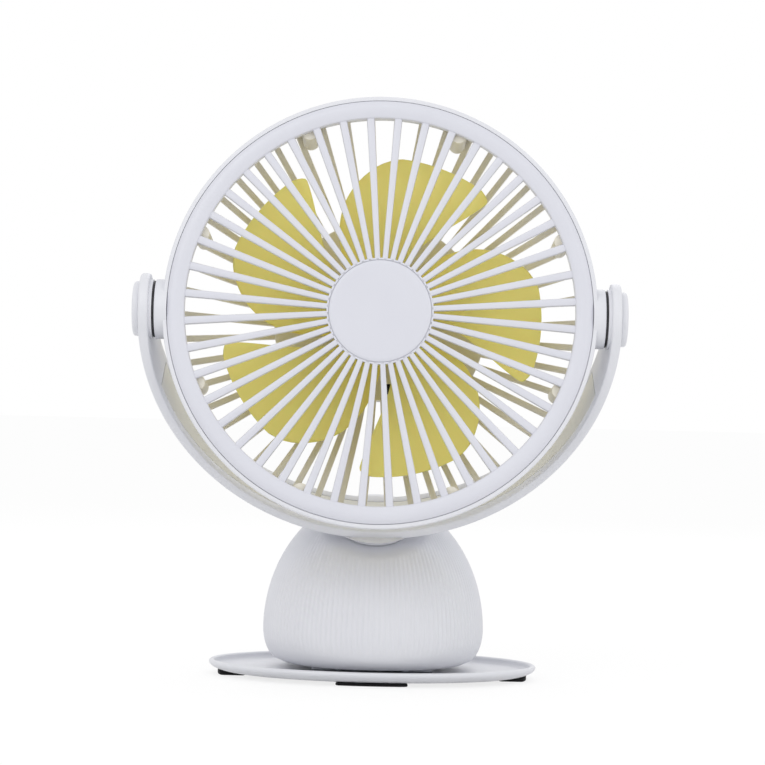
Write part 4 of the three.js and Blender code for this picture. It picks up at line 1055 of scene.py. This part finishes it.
def dome_column(turn, inset):
    start = DOME_BOTTOM
    for _ in range(25):
        start = heel(dome_point(turn, start, inset)[1])
    sweep = np.sin(np.linspace(0, math.pi / 2, LOWER_ROWS))
    heights = [start + (DOME_WIDEST - start) * (0.5 * s + 0.5 * k / (LOWER_ROWS - 1))
               for k, s in enumerate(sweep)]
    for angle in np.linspace(0, 88.5, UPPER_ROWS)[1:]:
        heights.append(DOME_WIDEST + (DOME_RISE - inset) * math.sin(math.radians(angle)))
    return [dome_point(turn, height, inset) for height in heights]


columns = FLUTES * 6
column_turns = np.linspace(0, math.tau, columns, endpoint=False)
outside = np.array([dome_column(turn, 0.0) for turn in column_turns]).transpose(1, 0, 2)
hollow = np.array([dome_column(turn, DOME_WALL) for turn in column_turns]).transpose(1, 0, 2)
hollow = hollow[[0, 3, 6, 9, 14, 20, 26, 32, 38, 44, 48]]
dome = draft("dome", skin(np.concatenate([hollow[::-1], outside])))
print("dome rows", outside.shape[0], "columns", columns)

# %% [markdown]
# The flutes themselves are one line of mathematics, a cosine of the angle round, so Geometry
# Nodes press them into the finished skin. Two numbers stored on each point say where it stands
# round the dome and how strong the flutes are there. They run out near the lower edge, near the
# top, and round the neck, as the photograph shows.

# %% Where each point stands, and how strong the flutes are
def vertex_places(mesh):
    places = np.zeros(len(mesh.vertices) * 3)
    mesh.vertices.foreach_get("co", places)
    return places.reshape(-1, 3)


def in_its_level(points):
    """The size of each point's own level of the dome, and where the point stands in it."""
    share = np.sqrt(1 - np.clip((points[:, 2] - DOME_WIDEST) / DOME_RISE, 0, 1) ** 2)
    middle = DOME_MIDDLE + DOME_LEAN * (1 - share)
    return share, points[:, 0] / DOME_HALF[0], (points[:, 1] - middle) / DOME_HALF[1]


def flute_numbers(points):
    share, across, back = in_its_level(points)
    from_seat = points - seat_centre
    off_axis = np.linalg.norm(from_seat - np.outer(from_seat @ neck_axis, neck_axis), axis=1)
    on_skin = np.hypot(across, back) > 0.975 * np.where(points[:, 2] > DOME_WIDEST, share, 0.78)
    return np.arctan2(back, across), (
        ease(points[:, 2], 9, 17) * ease(share, 0.1, 0.45) * ease(off_axis, 17.5, 23.5) * on_skin)


for label, values in zip(("around", "strength"), flute_numbers(vertex_places(dome.data))):
    dome.data.attributes.new(label, "FLOAT", "POINT").data.foreach_set(
        "value", values.astype(np.float32))

# %% Press the flutes in
flute_tree, given = new_copy_tree("flutes", (("Flutes", "Int"), ("Depth", "Float")))
around, strength = (
    add_node(flute_tree, "GeometryNodeInputNamedAttribute", {"Name": label}).outputs[0]
    for label in ("around", "strength"))


def flute_math(operation, *values):
    return add_node(flute_tree, "ShaderNodeMath", dict(enumerate(values)),
                    operation=operation).outputs[0]


wave = flute_math("COSINE", flute_math("MULTIPLY", around, given["Flutes"]))
sunk = add_node(flute_tree, "ShaderNodeMapRange", {
    "Value": wave, "From Min": 1.0, "From Max": -1.0, "To Min": 0.0, "To Max": given["Depth"]})
inward = add_node(flute_tree, "ShaderNodeCombineXYZ", {
    axis: flute_math("MULTIPLY", flute_math(kind, around), -1.0)
    for axis, kind in (("X", "COSINE"), ("Y", "SINE"))})
offset = add_node(flute_tree, "ShaderNodeVectorMath", {
    0: inward.outputs[0], "Scale": flute_math("MULTIPLY", sunk.outputs[0], strength)},
    operation="SCALE")
close_copy_tree(flute_tree, given, add_node(flute_tree, "GeometryNodeSetPosition", {
    "Geometry": given["Piece"], "Offset": offset.outputs[0]}))

run_tree(dome, flute_tree, white_abs, Flutes=FLUTES, Depth=FLUTE_DEPTH)

# %% [markdown]
# The neck's seat is flat. Cutting it with a Boolean would leave a hard, jagged edge across the
# flutes, so every point above the seat's plane is pressed down onto it, with a soft shoulder. The
# openings are true holes, and those are cut: the neck's stem, the button, its light and the socket.

# %% Flatten the neck's seat and cut the openings
SEAT_WALL = 3.0
SHOULDER = 0.7
BOARD_BACK = 30.4
BUTTON_HIGH = 30.0
BUTTON_RADIUS = 4.0
LIGHT_ACROSS = 9.5
LIGHT_RADIUS = 1.1
SOCKET_HIGH = 22.0
SOCKET = (9.0, 3.3)

dome_points = vertex_places(dome.data)
share, across, back = in_its_level(dome_points)
on_outside = np.hypot(across, back) > share - 0.03
above = (dome_points - seat_centre) @ -neck_axis + np.where(on_outside, 0.0, SEAT_WALL)
soft = np.where(above > SHOULDER, above,
                np.where(above < -SHOULDER, 0.0, (above + SHOULDER) ** 2 / (4 * SHOULDER)))
dome_points += np.outer(soft, neck_axis)
dome.data.vertices.foreach_set("co", dome_points.ravel())


def rod(radius, across, sides):
    """A round rod along Y, from the board out through the back of the dome."""
    return moved(turned([(0, BOARD_BACK + 1), (radius, BOARD_BACK + 1), (radius, 80), (0, 80)],
                        sides), across, 0, BUTTON_HIGH)


def rounded_bar(less, start, end, corner):
    """A bar along Y with the socket's outline, narrower and lower by some millimetres."""
    x, z = ((size - by) / 2 for size, by in zip(SOCKET, less))
    outline = eased([(-x, -z, corner), (x, -z, corner), (x, z, corner), (-x, z, corner)], steps=5)
    return skin([[(x, y, SOCKET_HIGH + z) for x, z in outline] for y in (start, end)])


stem_hole = draft("stem_hole", turned([
    (0, -NECK_LENGTH - 6), (STEM_RADIUS + RUN_GAP, -NECK_LENGTH - 6),
    (STEM_RADIUS + RUN_GAP, 1 - NECK_LENGTH), (0, 1 - NECK_LENGTH)], 64, "z"))
stem_hole.data.transform(into_clip @ yoke_place)
carve(
    dome, stem_hole,
    draft("button_hole", rod(BUTTON_RADIUS + RUN_GAP, 0, 48)),
    draft("light_hole", rod(LIGHT_RADIUS + RUN_GAP, LIGHT_ACROSS, 24)),
    draft("socket_hole", rounded_bar((-0.5, -0.5), BOARD_BACK + 1, 80, 1.5)))
dome.name = "fluted_dome_shell"
fit(dome, clip_place, "upper_jaw_body", "white_base", "shell", finish=white_abs, crisp=40)

# %% [markdown]
# Behind, where the hand reaches, the dome carries a round button, the light beside it and the
# charging socket. They are small, but they give the viewer the fan's scale.

# %% Button, light and socket
def back_surface(height):
    return dome_point(math.pi / 2, height, 0.0)[1]


button_face = back_surface(BUTTON_HIGH) + 0.8
button = draft("power_button_cap", moved(turned([
    (0, BOARD_BACK + 1.1), (BUTTON_RADIUS, BOARD_BACK + 1.1), (BUTTON_RADIUS, button_face, 0.7),
    (2.9, button_face - 0.05, 0.3), (1.6, button_face - 0.3, 0.5), (0, button_face - 0.35)],
    64, steps=5), 0, 0, BUTTON_HIGH))
fit(button, clip_place, "button_body", "white_base", "power_button", finish=white_abs)

light_face = back_surface(BUTTON_HIGH) - 0.4
light = draft("charge_light_guide", moved(turned([
    (0, BOARD_BACK + 0.3), (LIGHT_RADIUS, BOARD_BACK + 0.3), (LIGHT_RADIUS, light_face + 0.1, 0.3),
    (0, light_face + 0.4)], 32), LIGHT_ACROSS, 0, BUTTON_HIGH))
fit(light, clip_place, "upper_jaw_body", "lens", "indicator_lens", finish=light_guide)

socket_mouth = back_surface(SOCKET_HIGH) + 0.1
socket = draft("charging_socket_shell", rounded_bar((0, 0), BOARD_BACK + 0.3, socket_mouth, 1.5))
carve(socket, draft("socket_inside", rounded_bar(
    (0.7, 0.7), BOARD_BACK + 1.5, socket_mouth + 1, 1.2)))
fit(socket, clip_place, "upper_jaw_body", "steel", "usb_socket", finish=nickel_shell)
tongue = draft("socket_tongue", rounded_bar(
    (2.4, 2.6), BOARD_BACK + 1.4, socket_mouth - 1.0, 0.2))
fit(tongue, clip_place, "upper_jaw_body", "dark_nylon", "usb_socket", finish=black_nylon_and_gap_shade)

# %% [markdown]
# ## The tray
# The lower jaw is a shallow oval dish. Its outside curves up from a flat underside to the widest
# line, turns over a rounded rim and drops to a flat floor. All of it is one stack of ellipses,
# each narrower than the widest line by some amount.

# %% Oval tray
TRAY_HALF = (61.0, 41.5)
TRAY_UNDER = 0.9
TRAY_SHOULDER = 4.6
TRAY_RIM_HIGH = 5.5
TRAY_RIM = 2.2
TRAY_CURVE = 12.0
TRAY_SIDES = 200


def ellipse(inset, height):
    turns = np.linspace(0, math.tau, TRAY_SIDES, endpoint=False)
    return [((TRAY_HALF[0] - inset) * math.cos(t), (TRAY_HALF[1] - inset) * math.sin(t), height)
            for t in turns]


outline = [(TRAY_CURVE * (1 - math.sin(t)),
            TRAY_UNDER + (TRAY_SHOULDER - TRAY_UNDER) * (1 - math.cos(t)))
           for t in np.linspace(0, math.pi / 2, 12)]
outline += [(TRAY_RIM / 2 * (1 - math.cos(t)),
             TRAY_SHOULDER + (TRAY_RIM_HIGH - TRAY_SHOULDER) * math.sin(t))
            for t in np.linspace(0, math.pi, 11)[1:]]
outline += [(TRAY_RIM + 1.6 * (1 - math.cos(t)),
             TRAY_FLOOR + (TRAY_SHOULDER - TRAY_FLOOR) * (1 - math.sin(t)))
            for t in np.linspace(0, math.pi / 2, 7)[1:]]
dish = skin([ellipse(inset, height) for inset, height in outline])

# %% [markdown]
# Two lugs on the tray and two on the dome's floor share the hinge pin. Each lug is a plate with a
# round top and a true hole, drawn as rings that pass round the hole, so no cutting is needed.

# %% Hinge lugs and pin
HINGE_HIGH = DOME_BOTTOM + 4.4
LUG_RADIUS = 4.2
LUG_WIDTH = 3.0
LUG_ACROSS = 12.0
LUG_SINK = 0.8  # mm into the tray's floor
PIN_RADIUS = 1.5


def lug(across, foot):
    turns = np.linspace(0, math.tau, 48, endpoint=False)

    def outer_point(t, less):
        y, z = math.cos(t), math.sin(t)
        radius = LUG_RADIUS - less
        if z >= 0:
            return radius * y, radius * z
        scale = min(radius / max(abs(y), 1e-6), (HINGE_HIGH - foot) / max(-z, 1e-6))
        return y * scale, z * scale

    half = LUG_WIDTH / 2
    hole = PIN_RADIUS + RUN_GAP
    rings = []
    for x, less in ((-half, 0.4), (0.4 - half, 0), (half - 0.4, 0), (half, 0.4)):
        rings.append([(across + x, HINGE_BACK + outer_point(t, less)[0],
                       HINGE_HIGH + outer_point(t, less)[1]) for t in turns])
    for x in (half, -half):
        rings.append([(across + x, HINGE_BACK + hole * math.cos(t),
                       HINGE_HIGH + hole * math.sin(t)) for t in turns])
    return skin(rings, round_trip=True)


tray = draft("oval_tray", dish, *[
    lug(side * LUG_ACROSS, TRAY_FLOOR - LUG_SINK) for side in (-1, 1)])
fit(tray, clip_place, "lower_jaw_body", "white_base", "lower_jaw", finish=white_abs)

pin_half = LUG_ACROSS + 2 * LUG_WIDTH
pin = draft("zinc_hinge_pin", moved(turned([
    (0, -pin_half), (PIN_RADIUS, -pin_half, 0.5), (PIN_RADIUS, pin_half, 0.5), (0, pin_half)],
    32, "x"), 0, HINGE_BACK, HINGE_HIGH))
fit(pin, clip_place, "lower_jaw_body", "steel", "hinge_pin", finish=zinc_steel)

# %% [markdown]
# ## The feet
# Four black rubber feet sit under the tray's curve. Each is a patch whose top follows the tray
# with a thin joint line, whose outer side follows the oval, and whose underside is flat.

# %% Rubber feet
FOOT_GAP = 0.25
FOOT_INSET_OVAL = 3.4


def tray_under(x, y):
    """The height of the tray's outside above a point of the table."""
    low, high = 0.0, TRAY_HALF[1] - 1
    for _ in range(40):
        middle = (low + high) / 2
        if (x / (TRAY_HALF[0] - middle)) ** 2 + (y / (TRAY_HALF[1] - middle)) ** 2 > 1:
            high = middle
        else:
            low = middle
    run = min(1.0, low / TRAY_CURVE)
    return TRAY_UNDER + (TRAY_SHOULDER - TRAY_UNDER) * (1 - math.sqrt(1 - (1 - run) ** 2))


def foot(side, half_length, width, along, further=0.0):
    """along: 0 for a foot at the tray's left or right end, 1 for one in front or behind.
    further: how many mm nearer the middle it stands."""
    reach = [TRAY_HALF[k] - FOOT_INSET_OVAL - further for k in (0, 1)]
    rings = []
    for s in np.linspace(-1, 1, 25):
        tangent = s * half_length
        corner = min(1.0, (1 - abs(s)) * half_length / 1.2)
        tuck = 1.2 * (1 - math.sqrt(1 - (1 - corner) ** 2))
        outer = reach[along] * math.sqrt(1 - (tangent / reach[1 - along]) ** 2) - tuck
        inner = reach[along] - width + tuck
        section = []
        for share, top in ((0, 0), (0, 1), (0.15, 1), (0.4, 1), (0.7, 1), (1, 1), (1, 0)):
            deep = side * (inner + (outer - inner) * share)
            x, y = (deep, tangent) if along == 0 else (tangent, deep)
            section.append((x, y, top * (tray_under(x, y) - FOOT_GAP)))
        rings.append(section)
    return skin(rings)


for name, shape in (
        ("left", foot(-1, 9, 10.5, 0)), ("right", foot(1, 9, 10.5, 0)),
        ("front", foot(-1, 13, 8, 1, 2.6)), ("rear", foot(1, 13, 8, 1, 2.6))):
    pad = draft(f"rubber_foot_{name}", shape)
    soften = pad.modifiers.new("soft edge", "BEVEL")
    soften.width = 0.3
    soften.segments = 2
    settle(pad)
    fit(pad, clip_place, "lower_jaw_body", "black_rubber", f"foot_{name}", finish=black_rubber)

# %% [markdown]
# ## Jaw pads
# Both jaws grip with a ribbed silicone pad. A pad is a thin sheet and a row of low rounded ribs,
# so the sheet is drawn once and one rib is copied in a row.

# %% Ribbed pads
PAD_HALF = 22.0
PAD_FRONT, PAD_BACK = -25.0, -9.0
PAD_RIBS = 6
rib_pitch = (PAD_BACK - PAD_FRONT) / PAD_RIBS


def jaw_pad(name, seat, up, body, node):
    low, high = sorted((seat, seat + up * PAD_SHEET))
    sheet = draft("sheet", box_shape((-PAD_HALF, PAD_FRONT, low), (PAD_HALF, PAD_BACK, high)))
    crown = [(0.4 * rib_pitch * math.cos(t), PAD_RIB * math.sin(t))
             for t in np.linspace(0, math.pi, 9)]
    rib = draft("rib", skin([[
        (x, PAD_FRONT + rib_pitch / 2 + y, seat + up * (PAD_SHEET - 0.1 + z * 1.22))
        for y, z in [(crown[0][0], -0.1), *crown, (crown[-1][0], -0.1)]]
        for x in (0.3 - PAD_HALF, PAD_HALF - 0.3)]))
    row = run_tree(rib, line_tree, grey_silicone, Count=PAD_RIBS, Step=(0, rib_pitch, 0))
    pad = merged(name, paint(sheet, grey_silicone), row)
    fit(pad, clip_place, body, "grey_rubber", node, finish=grey_silicone)


jaw_pad("silicone_pad_lower", TRAY_FLOOR + PAD_GAP, 1, "lower_jaw_body", "jaw_pad_lower")
jaw_pad("silicone_pad_upper", DOME_BOTTOM - PAD_GAP, -1, "upper_jaw_body", "jaw_pad_upper")

# %% [markdown]
# ## The clip spring
# One wire presses the jaws together: a leg on the tray, a coil round the pin, and a leg under the
# dome's heel. When the clip opens, a real torsion spring winds up evenly along its coil. Here the
# piece is drawn in the tray's place, then left on no body, with that place baked into its points.

# %% Torsion spring
WIRE_RADIUS = 0.65
COIL_RADIUS = 3.1
COIL_TURNS = 5
COIL_PITCH = 1.9
LEG_LENGTH = 16.0
LEG_SLOPES = (-9.0, 19.0)  # degrees, on the tray and under the dome


def wire(route, radius, sides=12):
    rings, side = [], np.array([1.0, 0, 0])
    for k, point in enumerate(route):
        before, after = route[max(k - 1, 0)], route[min(k + 1, len(route) - 1)]
        along = (after - before) / np.linalg.norm(after - before)
        side = side - along * (side @ along)
        side /= np.linalg.norm(side)
        up = np.cross(along, side)
        rings.append([point + radius * (side * math.cos(t) + up * math.sin(t))
                      for t in np.linspace(0, math.tau, sides, endpoint=False)])
    return skin(rings)


first_turn, last_turn = (math.radians(slope) - math.pi / 2 for slope in LEG_SLOPES)
last_turn += COIL_TURNS * math.tau
coil_half = COIL_TURNS * COIL_PITCH / 2
coil = [np.array([x, HINGE_BACK + COIL_RADIUS * math.cos(t),
                  HINGE_HIGH + COIL_RADIUS * math.sin(t)])
        for t, x in zip(np.linspace(first_turn, last_turn, 150),
                        np.linspace(-coil_half, coil_half, 150))]


def leg(start, slope):
    along = np.array([0, math.cos(math.radians(slope)), math.sin(math.radians(slope))])
    return [start + along * length for length in (LEG_LENGTH, LEG_LENGTH / 2, 1.0)]


route = leg(coil[0], LEG_SLOPES[0]) + coil + leg(coil[-1], LEG_SLOPES[1])[::-1]
spring = draft("torsion_spring", wire(route, WIRE_RADIUS))
fit(spring, clip_place, "lower_jaw_body", "steel", "clip_spring", finish=spring_steel)
spring.parent = None
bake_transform(spring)

# %% [markdown]
# Four short screws hold the floor under the dome. They stand beside the pads and the hinge.

# %% Floor screws
FLOOR_SCREWS = ((12.0, -26.6), (25.0, 14.0))
points, faces = screw_head(1.5, 0.9)
floor_screws = draft("floor_screws", *[
    moved((points * np.array([1, 1, -1]), faces), side * across, back, DOME_BOTTOM)
    for across, back in FLOOR_SCREWS for side in (-1, 1)])
fit(floor_screws, clip_place, "upper_jaw_body", "steel", finish=zinc_steel)

# %% [markdown]
# ## Parts kept from the solids
# The floor, the cell, the board, the nut, its washer and the pivot screws already have their true
# shapes. They are inside or underneath, so they only need their finishes.

# %% Finishes for the kept solids
KEPT = {
    "shell_floor": white_abs, "battery_cell": film_wrap, "circuit_board": board_lacquer,
    "swivel_washer": black_nylon_and_gap_shade, "swivel_nut": zinc_steel,
    "pivot_screw_left": zinc_steel, "pivot_screw_right": zinc_steel,
}
for name, finish in KEPT.items():
    paint(frame["nodes"][name], finish)
print("kept", sorted(KEPT))
